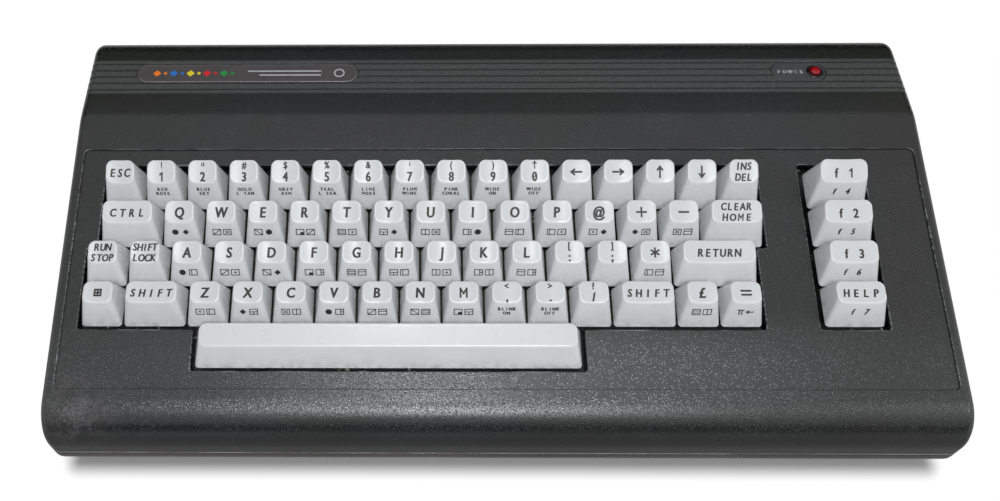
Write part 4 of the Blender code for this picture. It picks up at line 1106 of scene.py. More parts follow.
def strokeMesh(strokes, width=letterValues["strokeWidth"], thickness=letterValues["thickness"]):
    bm = bmesh.new()
    for x0, y0, x1, y1 in strokes:
        along = Vector((x1 - x0, y1 - y0, 0))
        turn = Matrix.Rotation(math.atan2(along.y, along.x), 4, "Z")
        place = Matrix.Translation(((x0 + x1) / 2, (y0 + y1) / 2, 0)) @ turn
        half = along.length / 2 + width / 2
        block(bm, (-half, -width / 2, -thickness), (half, width / 2, thickness), place)
    return finishedMesh("mark", bm)


def fontMesh(letter, spread):
    curve = bpy.data.curves.new("letter", "FONT")
    curve.body = letter
    curve.size = 1 / letterValues["capShare"]
    curve.extrude = letterValues["thickness"]
    curve.resolution_u = letterValues["curveSteps"]
    curve.offset = letterValues["bold"]
    obj = bpy.data.objects.new("letter", curve)
    scene.collection.objects.link(obj)
    mesh = evaluatedMesh(obj)
    bpy.data.objects.remove(obj)
    mesh.materials.clear()
    middle = (min(vert.co.x for vert in mesh.vertices) + max(vert.co.x for vert in mesh.vertices)) / 2
    # Two copies side by side make the upright strokes heavier
    bm = bmesh.new()
    for side in (-1, 1):
        known = set(bm.verts)
        bm.from_mesh(mesh)
        for vert in bm.verts:
            if vert not in known:
                x, y, z = vert.co
                vert.co = ((x - middle) * letterValues["narrow"] + side * spread, y - 0.5, z)
    bm.to_mesh(mesh)
    bm.free()
    return mesh


def letterMesh(letter, heavy=False):
    key = (letter, heavy)
    if key not in letterMeshes:
        if letter in strokeMarks:
            letterMeshes[key] = strokeMesh(strokeMarks[letter])
        else:
            letterMeshes[key] = fontMesh(letter, letterValues["heavySpread" if heavy else "spread"])
    return letterMeshes[key]


def stamp(bm, mesh, height, place, slot, slant=0.0):
    # Adds a letter to a piece, with each of its points put through the place function
    known = set(bm.verts)
    bm.from_mesh(mesh)
    fresh = {vert for vert in bm.verts if vert not in known}
    for vert in fresh:
        x, y, z = vert.co
        vert.co = place((x + slant * y) * height, y * height, z * height)
        for face in vert.link_faces:
            face.material_index = slot


def shifted(place, shift):
    return lambda x, y, z: place(x + shift, y, z)


def stampWord(bm, word, height, pitch, place, slot, slant=0.0, heavy=False):
    for number, letter in enumerate(word):
        if letter != " ":
            shift = (number - (len(word) - 1) / 2) * pitch
            stamp(bm, letterMesh(letter, heavy), height, shifted(place, shift), slot, slant)


# Keycaps

cap = {
    "gap": 0.0009,                 # between neighbours
    "sideSetback": 0.0026,         # of the top from the foot, on each side
    "frontSetback": 0.0075,
    "backSetback": 0.0003,
    "dish": 0.0008,
    "barDish": 0.00012,            # the space bar is nearly flat
    "wall": 0.0014,
    "topCorner": 0.0034,
    "skirtCorner": 0.0017,
    "edge": 0.0008,
    "edgeSteps": 4,
    "cornerSteps": 4,
    "middleSteps": 8,
    "skirtLevels": (0.35, 0.7, 0.93, 1.0),
    # Heights of the tops over the keys' own plane, by row
    "frontHeights": {1: 0.0134, 2: 0.0118, 3: 0.0108, 4: 0.0118, 5: 0.0085},
    "backHeights": {1: 0.0168, 2: 0.0140, 3: 0.0124, 4: 0.0116, 5: 0.0098},
    "stem": 0.0054,
    "stemReach": 0.0145,
    "stemBevel": 0.0003,
    "lift": 0.00003,               # of the ink over the plastic
}

ink = {
    "topSlot": 1,
    "frontSlot": 2,
    "letter": 0.0046,
    "letterSlant": 0.06,
    "letterDrop": 0.0004,
    "pair": 0.0040,
    "symbol": 0.0029,
    "pairShift": 0.0028,
    "pairDrop": 0.0023,
    "slash": ([(-0.16, -0.28, 0.16, 0.28)], 0.09),
    "word": 0.0035,
    "wordDrop": 0.0006,
    "wordPitch": {3: 0.0033, 4: 0.0043, 5: 0.0040, 6: 0.0033},
    "slant": 0.12,
    "smallWord": 0.0032,
    "smallPitch": {3: 0.0026, 4: 0.0027, 5: 0.0022},
    "widePitch": 1.3,              # on keys wider than one pitch
    "lineShift": 0.0024,
    "functionSize": 0.86,
    "functionPitch": 0.0033,
    "functionDrop": 0.0010,
    "tiny": 0.00165,
    "tinyPitch": 0.00168,
    "tinyDrop": 0.0033,
    "tinyLine": 0.0023,
    "frontWord": 0.0030,
    "frontWordDrop": 0.0048,
    "equalsMarks": (("p", 0.0030, -0.002), ("<-", 0.0029, 0.002)),
    "boxWidth": 0.0035,
    "boxHeight": 0.0029,
    "boxGap": 0.0013,
    "boxStroke": 0.00038,
    "boxDrop": 0.0050,
    "boxThickness": 0.00002,
}


def spread(number, count, half, corner):
    # Where a line of the cap's grid lies: the corner cells keep the corner's radius
    steps = cap["cornerSteps"]
    if number <= steps:
        return -half + corner * number / steps
    if number >= count - steps:
        return half - corner * (count - number) / steps
    return (half - corner) * (2 * (number - steps) / (count - 2 * steps) - 1)


def capOutline(i, j, counts, halfX, halfY, corner):
    x = spread(i, counts[0], halfX, corner)
    y = spread(j, counts[1], halfY, corner)
    u = (abs(x) - halfX + corner) / corner
    v = (abs(y) - halfY + corner) / corner
    if u > 0 and v > 0:
        roundX = (halfX - corner + corner * u * math.sqrt(1 - v * v / 2)) * math.copysign(1, x)
        roundY = (halfY - corner + corner * v * math.sqrt(1 - u * u / 2)) * math.copysign(1, y)
        return roundX, roundY
    return x, y


def makeCap(name, node, x, share, row, top, front):
    width = share * keyboard["pitch"] - cap["gap"]
    outerX, outerY = width / 2, (keyboard["pitch"] - cap["gap"]) / 2
    topX = outerX - cap["sideSetback"]
    frontY, backY = -outerY + cap["frontSetback"], outerY - cap["backSetback"]
    topY, middleY = (backY - frontY) / 2, (backY + frontY) / 2
    frontHeight, backHeight = cap["frontHeights"][row], cap["backHeights"][row]
    dish = cap["barDish"] if row == 5 else cap["dish"]
    edge, wall = cap["edge"], cap["wall"]

    def level(px, py):
        height = frontHeight + (backHeight - frontHeight) * (py - frontY) / (backY - frontY)
        return height - dish * max(0.0, 1 - (px / topX) ** 2)

    around = 2 * cap["cornerSteps"]
    counts = (around + cap["middleSteps"] * max(1, round(share / 2)), around + 4)
    bm = bmesh.new()
    bmesh.ops.create_grid(bm, x_segments=counts[0], y_segments=counts[1], size=1)
    column = bm.verts.layers.int.new("column")
    line = bm.verts.layers.int.new("line")
    towardFoot = bm.verts.layers.float.new("towardFoot")
    topShade = bm.verts.layers.float.new("topShade")
    # Points on the top take the painted shade of the dished tops; the points added below them do not
    for vert in bm.verts:
        vert[topShade] = 1.0
        vert[column] = round((vert.co.x + 1) / 2 * counts[0])
        vert[line] = round((vert.co.y + 1) / 2 * counts[1])

    def outline(vert, halfX, halfY, corner):
        return capOutline(vert[column], vert[line], counts, halfX, halfY, corner)

    def atLevel(px, py):
        return Vector((px, py + middleY, level(px, py + middleY)))

    for vert in bm.verts:
        vert.co = atLevel(*outline(vert, topX - edge, topY - edge, cap["topCorner"] - edge))

    def side(vert):
        # The edge's virtual corner on the top, where the edge ends below it, and the foot of the skirt
        high = atLevel(*outline(vert, topX, topY, cap["topCorner"]))
        low = Vector((*outline(vert, outerX, outerY, cap["skirtCorner"]), 0))
        return high, high + (low - high).normalized() * edge, low

    def extend(edges, mover):
        made = bmesh.ops.extrude_edge_only(bm, edges=edges)["geom"]
        verts = [item for item in made if isinstance(item, bmesh.types.BMVert)]
        for vert in verts:
            vert[topShade] = 0.0
            vert.co = mover(vert)
        return [item for item in made if isinstance(item, bmesh.types.BMEdge)
                and item.is_boundary and all(vert in verts for vert in item.verts)]

    edges = [item for item in bm.edges if item.is_boundary]
    inner = {(vert[column], vert[line]): vert.co.copy() for item in edges for vert in item.verts}
    for step in range(1, cap["edgeSteps"] + 1):
        t = step / cap["edgeSteps"]

        def overEdge(vert, t=t):
            high, past, _ = side(vert)
            return (1 - t) ** 2 * inner[vert[column], vert[line]] + 2 * t * (1 - t) * high + t * t * past

        edges = extend(edges, overEdge)
    for t in cap["skirtLevels"]:
        def downSide(vert, t=t):
            _, past, low = side(vert)
            # Darker toward the foot of the skirt, by this share
            vert[towardFoot] = t ** 3
            return past.lerp(low, t)

        edges = extend(edges, downSide)

    def insideFoot(vert):
        return Vector((*outline(vert, outerX - wall, outerY - wall, cap["skirtCorner"] / 2), 0))

    def ceiling(vert):
        px, py = outline(vert, topX - wall, topY - wall, cap["topCorner"] / 2)
        return Vector((px, py + middleY, min(frontHeight, backHeight) - dish - wall))

    edges = extend(edges, insideFoot)
    edges = extend(edges, ceiling)
    bmesh.ops.contextual_create(bm, geom=edges)
    half = cap["stem"] / 2
    stemTop = frontHeight * (outerY - half) / cap["frontSetback"] - dish - wall
    block(bm, (-half, -half, -cap["stemReach"]), (half, half, stemTop), bevel=cap["stemBevel"], steps=1)

    def onTop(shift):
        def place(px, py, pz):
            return (px, py + shift + middleY, level(px, py + shift + middleY) + pz + cap["lift"])
        return place

    run = Vector((-outerY - frontY, -level(0, frontY)))
    out = Vector((run.y, -run.x)).normalized()

    def onFront(drop):
        def place(px, py, pz):
            t = (drop - py) / run.length
            lift = pz + cap["lift"]
            return (px, frontY + run.x * t + out.x * lift, level(px, frontY) * (1 - t) + out.y * lift)
        return place

    drawTop(bm, top, share, onTop)
    drawFront(bm, front, onFront)
    bmesh.ops.transform(bm, matrix=keysPlace @ Matrix.Translation((x, rowV(row), 0)), verts=bm.verts)
    obj = newObject(name, bm, keyMaterials, smooth=32, weighted=False)
    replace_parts(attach(obj, node), node)


def drawTop(bm, top, share, onTop):
    slot, words = ink["topSlot"], top.split("/")
    if not top:
        return
    if len(top) == 1 or top in strokeMarks:
        slant = 0.0 if top in strokeMarks else ink["letterSlant"]
        stamp(bm, letterMesh(top), ink["letter"], onTop(-ink["letterDrop"]), slot, slant)
    elif len(top) == 2:
        upper, lower = onTop(ink["pairShift"]), onTop(-ink["pairDrop"])
        stamp(bm, letterMesh(top[0]), ink["symbol"], upper, slot)
        stamp(bm, letterMesh(top[1]), ink["pair"], lower, slot)
        if top[1] == "0":
            stamp(bm, strokeMesh(*ink["slash"]), ink["pair"], lower, slot)
    elif top[0] == "f":
        stampWord(bm, top, ink["letter"] * ink["functionSize"], ink["functionPitch"],
                  onTop(-ink["functionDrop"]), slot)
    elif len(words) == 1:
        pitch = ink["wordPitch"][len(top)]
        stampWord(bm, top, ink["word"], pitch, onTop(-ink["wordDrop"]), slot, ink["slant"])
    else:
        for number, word in enumerate(words):
            pitch = ink["smallPitch"][len(word)] * (ink["widePitch"] if share > 1 else 1)
            place = onTop(ink["lineShift"] * (1 - 2 * number) - ink["letterDrop"])
            stampWord(bm, word, ink["smallWord"], pitch, place, slot, ink["slant"])


# What the small frames on the fronts hold: lines in shares of the frame, or a filled shape
boxPatterns = [
    "disc", [(-0.5, 0.1, 0.5, 0.1)], "quarter", "diamond", [(0.0, -0.5, 0.0, 0.5)],
    [(-0.5, -0.5, 0.5, 0.5)], [(-0.2, -0.5, -0.2, 0.5)],
    [(-0.5, -0.2, 0.5, -0.2), (-0.5, 0.2, 0.5, 0.2)],
    [(-0.25, -0.25, 0.25, 0.25), (-0.25, 0.25, 0.25, -0.25)],
    [(0.15, -0.5, 0.15, 0.5), (0.15, 0.0, 0.5, 0.0)], [(-0.5, 0.5, 0.5, -0.5)],
    [(-0.15, 0.0, 0.15, 0.0), (0.0, -0.15, 0.0, 0.15)], [(0.0, -0.5, 0.0, 0.0), (-0.5, 0.0, 0.5, 0.0)],
]
boxFrame = [(-0.5, -0.5, 0.5, -0.5), (-0.5, 0.5, 0.5, 0.5), (-0.5, -0.5, -0.5, 0.5), (0.5, -0.5, 0.5, 0.5)]
boxNumbers = itertools.count()


def solidMark(outline):
    thickness = ink["boxThickness"]
    bm = loft(bmesh.new(), [ring(outline, -thickness), ring(outline, thickness)])
    bmesh.ops.recalc_face_normals(bm, faces=bm.faces)
    bm.verts.layers.int.remove(bm.verts.layers.int["place"])
    return finishedMesh("mark", bm)


def drawBox(bm, pattern, place):
    width, height = ink["boxWidth"], ink["boxHeight"]
    if pattern in ("disc", "diamond"):
        marks = [solidMark(stadium((0, 0), height, height, steps=12 if pattern == "disc" else 2))]
    else:
        lines = boxFrame + ([] if pattern == "quarter" else pattern)
        scaled = [(a * width, b * height, c * width, d * height) for a, b, c, d in lines]
        marks = [strokeMesh(scaled, ink["boxStroke"], ink["boxThickness"])]
    if pattern == "quarter":
        marks.append(solidMark([(0, -height / 2), (width / 2, -height / 2), (width / 2, 0), (0, 0)]))
    for mark in marks:
        stamp(bm, mark, 1.0, place, ink["frontSlot"])


def drawFront(bm, front, onFront):
    slot = ink["frontSlot"]
    if front == "box":
        # Two small framed marks side by side
        number = next(boxNumbers)
        for side in (-1, 1):
            pattern = boxPatterns[(number * 5 + (side > 0) * (3 + number // 4)) % len(boxPatterns)]
            shift = side * (ink["boxWidth"] + ink["boxGap"]) / 2
            drawBox(bm, pattern, shifted(onFront(ink["boxDrop"]), shift))
    elif front == "p<":
        for mark, height, shift in ink["equalsMarks"]:
            stamp(bm, letterMesh(mark), height, shifted(onFront(ink["boxDrop"]), shift), slot)
    elif front.startswith("f"):
        height = ink["frontWord"]
        stampWord(bm, front, height, height, onFront(ink["frontWordDrop"]), slot, ink["slant"])
    elif front:
        for number, word in enumerate(front.split("/")):
            place = onFront(ink["tinyDrop"] + number * ink["tinyLine"])
            stampWord(bm, word, ink["tiny"], ink["tinyPitch"], place, slot, heavy=True)


def makeKeys():
    for row, (start, keys) in layout.items():
        place = start
        seen = {}
        for node, share, top, front in keys:
            seen[node] = seen.get(node, 0) + 1
            bank = sum(1 for key in keys if key[0] == node) > 1
            name = f"{node}_cap_{seen[node]}" if bank else f"{node}_cap"
            makeCap(name, node, unitX(place + share / 2), share, row, top, front)
            place += share
        if row in functionKeys:
            node, top, front = functionKeys[row]
            width = keyboard["functionWidth"]
            middle = unitX(keyboard["functionShare"] + width / 2)
            makeCap(node + "_cap", node, middle, width, row, top, front)


makeKeys()
print("keycaps ready")


# Badge, bezel and lamp

badge = {
    "rim": 0.00055,
    "rimHeight": 0.00016,
    "soft": (0.0001, 0.0003),      # rounding of the outer edge
    "face": {"colour": rgb(72, 68, 70), "blotch": rgb(62, 59, 61), "blotchScale": 60.0,
             "roughness": 0.4, "grainScale": 3000.0, "grain": 0.1, "dust": 0.15},
    "edge": {"colour": rgb(112, 110, 111), "blotch": rgb(120, 118, 118), "blotchScale": 120.0,
             "roughness": 0.3, "metallic": 0.6, "grain": 0.05},
    "silver": {"colour": rgb(196, 198, 202), "blotch": rgb(176, 178, 184), "blotchScale": 200.0,
               "roughness": 0.35, "metallic": 0.3, "grain": 0.05},
    "enamel": {"blotchScale": 300.0, "roughness": 0.35, "grain": 0.05},
    "colours": [rgb(232, 120, 30), rgb(32, 110, 190), rgb(222, 206, 34), rgb(206, 28, 38), rgb(28, 140, 62)],
    "diamond": 0.0021,
    "diamondPitch": 0.0042,
    "diamondsLeft": 0.0455,
    "lines": [(0.0185, 0.0013, 0.037), (0.0215, -0.0013, 0.031)],    # place along X and Y, and length
    "lineHeight": 0.0008,
    "ring": (0.0020, 0.0027),
    "ringRight": 0.0460,
    "relief": (-0.00002, 0.00006),  # of the thin pieces, from under the face to over it
}

lamp = {
    "bezel": {"colour": rgb(58, 61, 66), "blotch": rgb(50, 53, 58), "blotchScale": 70.0,
              "roughness": 0.45, "grainScale": 2600.0, "grain": 0.15, "dust": 0.2},
    "holder": {"colour": rgb(16, 16, 17), "blotch": rgb(22, 22, 24), "blotchScale": 200.0,
               "roughness": 0.3, "grain": 0.05},
    "deepRed": rgb(56, 0, 4),
    "topRed": rgb(150, 0, 12),
    "cloudRed": rgb(84, 1, 8),
    "topDepth": 0.0016,
    "play": 0.0003,                # of the bezel's hole round the holder
    "boreGap": 0.0002,
    "soft": 0.0003,
    "flange": 0.5,                 # below the top, in radii
    "dome": 0.62,                  # height of the dome, in radii
    "wordHeight": 0.0020,
    "wordPitch": 0.0028,
    "wordGap": 0.0083,             # from the holder's rim to the middle of the word
    "wordLift": 0.00003,
}


def makePlate(name, node, rimMaterial, faceMaterial, hole=None):
    low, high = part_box(node)
    centre = ((low.x + high.x) / 2, (low.y + high.y) / 2)
    rim, (small, soft) = badge["rim"], badge["soft"]
    level = high.z - badge["rimHeight"]
    steps = [(0, low.z), (0, high.z - soft), (small, high.z - small), (soft, high.z), (rim, high.z),
             (rim + small, level)]
    bm = loft(bmesh.new(), [ring(stadium(centre, high.x - low.x, high.y - low.y, inset), height)
                            for inset, height in steps])
    obj = newObject(name, bm, [rimMaterial, faceMaterial], smooth=0)
    for face in obj.data.polygons:
        if len(face.vertices) > 4 and face.center.z > high.z - 0.0005:
            face.material_index = 1
    if hole:
        tool = bmesh.new()
        x, y = middleOf("led_holder").xy
        rod(tool, hole, (x, y, low.z - 0.001), (x, y, high.z + 0.001), 40)
        cut(obj, tool)
    shade(obj, 35)
    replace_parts(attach(obj, "case"), node)
    return centre, level


def thinPiece(name, outlines, level, material):
    bm = bmesh.new()
    for outline in outlines:
        loft(bm, [ring(outline, level + relief) for relief in badge["relief"]])
    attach(newObject(name, bm, [material], smooth=0), "case")


def makeBadge():
    face, edge, silver = (surface(name, badge[key])[0] for name, key in (
        ("badge face", "face"), ("badge rim", "edge"), ("badge silver", "silver")))
    (x, y), level = makePlate("badge", "badge_plate", edge, face)
    # Coloured diamonds of two sizes toward the left, silver lines and a ring toward the right
    for number, colour in enumerate(badge["colours"]):
        outlines = []
        for step, size in enumerate((badge["diamond"], badge["diamond"] / 2)):
            centre = x - badge["diamondsLeft"] + (number * 2 + step) * badge["diamondPitch"]
            outlines.append([(centre - size, y), (centre, y - size), (centre + size, y), (centre, y + size)])
        look = dict(badge["enamel"], colour=colour, blotch=toned(colour, 0.85))
        enamel = surface(f"enamel {number + 1}", look)[0]
        thinPiece(f"badge_diamonds_{number + 1}", outlines, level, enamel)
    lines = [stadium((x + right, y + up), length, badge["lineHeight"], steps=8)
             for right, up, length in badge["lines"]]
    thinPiece("badge_lines", lines, level, silver)
    (inner, outer), (low, high) = badge["ring"], badge["relief"]
    bm = bmesh.new()
    turned(bm, [(inner, low), (outer, low), (outer, high), (inner, high), (inner, low)], 32,
           Matrix.Translation((x + badge["ringRight"], y, level)))
    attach(newObject("badge_ring", bm, [silver], smooth=0), "case")
    return silver


def makeLamp(silver):
    face, black = surface("bezel face", lamp["bezel"])[0], surface("holder plastic", lamp["holder"])[0]
    low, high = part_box("led_holder")
    outer, rise = (high.x - low.x) / 2, high.z - low.z
    (_, y), level = makePlate("bezel", "led_bezel", face, face, outer + lamp["play"])
    middle = middleOf("led_holder")
    left = outer + lamp["wordGap"]
    bm = bmesh.new()
    stampWord(bm, "POWER", lamp["wordHeight"], lamp["wordPitch"],
              lambda px, py, pz: (px + middle.x - left, py + y, level + pz + lamp["wordLift"]), 0, heavy=True)
    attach(newObject("bezel_word", bm, [silver], smooth=0), "case")

    lampLow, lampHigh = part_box("power_led")
    radius = (lampHigh.x - lampLow.x) / 2
    gap, soft = lamp["boreGap"], lamp["soft"]
    bore = radius + gap
    profile = [(outer, 0), (outer, rise - soft), (outer - soft, rise), (bore + gap, rise),
               (bore, rise - soft), (bore, 0), (outer, 0)]
    bm = bmesh.new()
    turned(bm, profile, 40, Matrix.Translation((middle.x, middle.y, low.z)))
    obj = newObject("lamp_ring", bm, [black])
    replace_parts(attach(obj, "case"), "led_holder")

    red, tree, shader, vector = newMaterial("lamp red")
    # Brighter red on the top of the dome and deeper toward its rim, a painted shading of light in the clear
    # dome; the clouds are random tone
    height = addNode(tree, "ShaderNodeSeparateXYZ", Vector=vector).outputs["Z"]
    tone = remap(tree, height, lampHigh.z - lamp["topDepth"], lampHigh.z)
    cloud = remap(tree, noise(tree, vector, 700.0, 2.0, 0.5), 0.3, 0.8, 0.0, 0.4)
    body = mixColour(tree, cloud, mixColour(tree, tone, lamp["deepRed"], lamp["topRed"]), lamp["cloudRed"])
    tree.links.new(body, shader.inputs["Base Color"])
    setInputs(shader, Roughness=0.35, Specular_IOR_Level=0.1, Coat_Weight=0.35, Coat_Roughness=0.03)
    foot = lampHigh.z - radius * lamp["flange"] - lampLow.z
    profile = [(0, 0), (radius, 0)]
    for angle in range(0, 90, 9):
        turn = math.radians(angle)
        profile.append((radius * math.cos(turn), foot + radius * lamp["dome"] * math.sin(turn)))
    profile.append((0, foot + radius * lamp["dome"]))
    bm = bmesh.new()
    turned(bm, profile, 40, Matrix.Translation((middle.x, middle.y, lampLow.z)))
    obj = newObject("lamp", bm, [red])
    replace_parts(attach(obj, "case"), "power_led")


silverInk = makeBadge()
makeLamp(silverInk)
print("badge and lamp ready")


# Feet, screws, sockets and switch

hardware = {
    "rubber": {"colour": rgb(34, 34, 35), "blotch": rgb(48, 47, 46), "blotchScale": 160.0,
               "dust": 0.5, "roughness": 0.85, "grainScale": 1800.0, "grain": 0.3},
    "steel": {"colour": rgb(150, 150, 148), "blotch": rgb(110, 108, 104), "blotchScale": 500.0,
              "roughness": 0.35, "metallic": 1.0, "grain": 0.08},
    "footBevel": 0.0008,
    "footDish": 0.0004,
    "screwHead": 0.0024,
    "shank": 0.0015,
    "threads": 16,
    "crossReach": 0.0019,
    "crossWidth": 0.0007,
    "crossDepth": 0.0012,
}

fitting = {
    "plastic": {"colour": rgb(26, 26, 27), "blotch": rgb(34, 34, 35), "blotchScale": 120.0,
                "dust": 0.3, "roughness": 0.42, "grain": 0.15},
    "brass": {"colour": rgb(206, 170, 98), "blotch": rgb(168, 134, 76), "blotchScale": 400.0,
              "roughness": 0.3, "metallic": 1.0, "grain": 0.05},
    "tin": {"colour": rgb(168, 168, 164), "blotch": rgb(138, 138, 134), "blotchScale": 90.0,
            "roughness": 0.38, "metallic": 1.0, "grain": 0.08},
    "white": {"colour": rgb(214, 214, 210), "blotch": rgb(190, 190, 186), "blotchScale": 300.0,
              "roughness": 0.5, "grain": 0.05},
    "bevel": 0.0005,
    "mouth": 0.0004,               # bevel of a socket's mouth
    "shield": 0.0004,              # thickness of the metal sleeve in it
    "pinRadius": 0.0005,
    "pinCircle": 0.62,             # in radii of the socket
    "pinStart": -50,
    "pinSweep": 280,
    "slotHalf": (0.027, 0.0015),   # of the cartridge connector's slot
    "slotDepth": 0.008,
    "contacts": 20,
    "contactPitch": 0.00254,
    "contactHalf": (0.0006, 0.00025),
    "contactShift": 0.0012,
    "canBevel": 0.0006,
    "lidInset": 0.0012,
    "lidBevel": 0.0002,
    "sleeveWall": 0.0009,
    "sleeveCore": (0.0022, 0.0017),    # outer radius and bore of the aerial socket's core
    "rockerTilt": -7,
    "rockerHollow": (0.0020, 0.0011),
    "markHeight": 0.0030,
    "markPlace": 0.62,
}


def upright(low, high):
    # Stands turned pieces on the foot of a box
    return Matrix.Translation(((low.x + high.x) / 2, (low.y + high.y) / 2, low.z))


def makeFeet():
    rubber = surface("foot rubber", hardware["rubber"])[0]
    soft, dish = hardware["footBevel"], hardware["footDish"]
    for node in ("foot_front_left", "foot_front_right", "foot_back_left", "foot_back_right"):
        low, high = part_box(node)
        radius, height = (high.x - low.x) / 2, high.z - low.z
        bm = bmesh.new()
        turned(bm, [(0, dish), (radius * 0.45, dish), (radius * 0.5, 0), (radius - soft, 0),
                    (radius - soft * 0.3, soft * 0.3), (radius, soft), (radius, height), (0, height)],
               40, upright(low, high))
        obj = newObject(node + "_pad", bm, [rubber])
        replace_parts(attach(obj, "case"), node)


def makeScrews():
    steel = surface("screw steel", hardware["steel"])[0]
    head, shank, threads = hardware["screwHead"], hardware["shank"], hardware["threads"]
    reach, half, depth = hardware["crossReach"], hardware["crossWidth"] / 2, hardware["crossDepth"]
    for node in ("case_screw_left", "case_screw_middle", "case_screw_right"):
        low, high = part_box(node)
        radius, length = (high.x - low.x) / 2, high.z - low.z
        profile = [(0, 0), (radius * 0.55, 0.0001), (radius * 0.85, 0.0005), (radius, 0.0011), (radius, head),
                   (shank, head)]
        pitch = (length - head - 0.0015) / threads      # above the threads is a point
        for turn in range(threads):
            start = head + turn * pitch
            profile += [(shank, start + pitch * 0.5), (shank * 0.8, start + pitch)]
        bm = bmesh.new()
        turned(bm, profile + [(0, length)], 24, upright(low, high))
        obj = newObject(node + "_body", bm, [steel], smooth=0)
        for x, y in ((reach, half), (half, reach)):
            cross = bmesh.new()
            block(cross, (-x, -y, -0.001), (x, y, depth), upright(low, high))
            cut(obj, cross)
        shade(obj, 30)
        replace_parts(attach(obj, "case"), node)


def makeSocket(node, wide, side, pins, plastic, brass, tin):
    # Built facing +Y round its own mouth, then turned to the back or to the right side
    low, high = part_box(node)
    middle = (low + high) / 2
    if side:
        place = Matrix.Translation((high.x, middle.y, middle.z)) @ Matrix.Rotation(math.radians(-90), 4, "Z")
        width, length = high.y - low.y, high.x - low.x
    else:
        place = Matrix.Translation((middle.x, high.y, middle.z))
        width, length = high.x - low.x, high.y - low.y
    facing = place @ Matrix.Rotation(math.radians(-90), 4, "X")     # turned pieces point along +Y
    height = high.z - low.z
    radius = socket["wideRadius"] if wide else socket["narrowRadius"]
    depth = socket["wideDepth"] if wide else socket["narrowDepth"]
    bm = bmesh.new()
    block(bm, (-width / 2, -length, -height / 2), (width / 2, 0, height / 2), bevel=fitting["bevel"])
    bmesh.ops.transform(bm, matrix=place, verts=bm.verts)
    body = newObject(node + "_body", bm, [plastic], smooth=0)
    mouth = fitting["mouth"]
    bore = bmesh.new()
    turned(bore, [(0, -depth), (radius, -depth), (radius, -mouth), (radius + mouth, 0),
                  (radius + mouth, 0.001), (0, 0.001)], 48, facing)
    cut(body, bore)
    shade(body, 35)
    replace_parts(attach(body, "case"), node)

    inner, outer, end = radius - fitting["shield"], radius - 0.00005, -depth + 0.0002
    bm = bmesh.new()
    turned(bm, [(outer, end), (outer, -0.0006), (inner, -0.0008), (inner, end), (outer, end)], 48, facing)
    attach(newObject(node + "_shield", bm, [tin]), "case")
    pin, circle = fitting["pinRadius"], radius * fitting["pinCircle"]
    bm = bmesh.new()
    for number in range(pins):
        angle = math.radians(fitting["pinStart"] + fitting["pinSweep"] * number / max(1, pins - 1))
        centre = Matrix.Translation((circle * math.cos(angle), -circle * math.sin(angle), 0))
        turned(bm, [(0, end), (pin, end), (pin, -depth * 0.35), (pin * 0.5, -depth * 0.3),
                    (0, -depth * 0.28)], 12, facing @ centre)
    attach(newObject(node + "_pins", bm, [brass]), "case")


def makeCartridgeConnector(plastic, brass):
    # A slot with two rows of contacts
    low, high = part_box("expansion_port")
    middle = (low + high) / 2
    bm = bmesh.new()
    block(bm, low, high, bevel=fitting["bevel"])
    body = newObject("expansion_body", bm, [plastic], smooth=0)
    halfX, halfZ = fitting["slotHalf"]
    bm = bmesh.new()
    block(bm, (middle.x - halfX, high.y - fitting["slotDepth"], middle.z - halfZ),
          (middle.x + halfX, high.y + 0.001, middle.z + halfZ))
    cut(body, bm)
    shade(body, 35)
    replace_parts(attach(body, "case"), "expansion_port")
    halfX, halfZ = fitting["contactHalf"]
    bm = bmesh.new()
    for number in range(fitting["contacts"]):
        x = middle.x + (number - (fitting["contacts"] - 1) / 2) * fitting["contactPitch"]
        for side in (-1, 1):
            z = middle.z + side * fitting["contactShift"]
            block(bm, (x - halfX, high.y - 0.0075, z - halfZ), (x + halfX, high.y - 0.0006, z + halfZ))
    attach(newObject("expansion_contacts", bm, [brass], smooth=0), "case")


def makeModulator(tin):
    # A folded can with a lid and the aerial sleeve
    low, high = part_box("rf_modulator")
    middle = (low + high) / 2
    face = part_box("video_port")[1].y
    inset = fitting["lidInset"]
    bm = bmesh.new()
    block(bm, low, (high.x, face, high.z), bevel=fitting["canBevel"])
    block(bm, (low.x + inset, low.y, high.z - 0.0004), (high.x - inset, face - inset, high.z),
          bevel=fitting["lidBevel"])
    sleeve = Matrix.Translation((middle.x, face, middle.z)) @ Matrix.Rotation(math.radians(-90), 4, "X")
    outer, reach = socket["sleeveRadius"], high.y - face
    inner, (core, bore) = outer - fitting["sleeveWall"], fitting["sleeveCore"]
    turned(bm, [(0, -0.0005), (outer, -0.0005), (outer, reach - 0.0003), (outer - 0.0003, reach),
                (inner, reach), (inner, 0.0), (core, 0.0), (core, reach - 0.0006), (0.0019, reach - 0.0004),
                (bore, reach - 0.0006), (bore, -0.0002), (0, -0.0002)], 40, sleeve)
    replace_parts(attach(newObject("modulator_can", bm, [tin]), "case"), "rf_modulator")


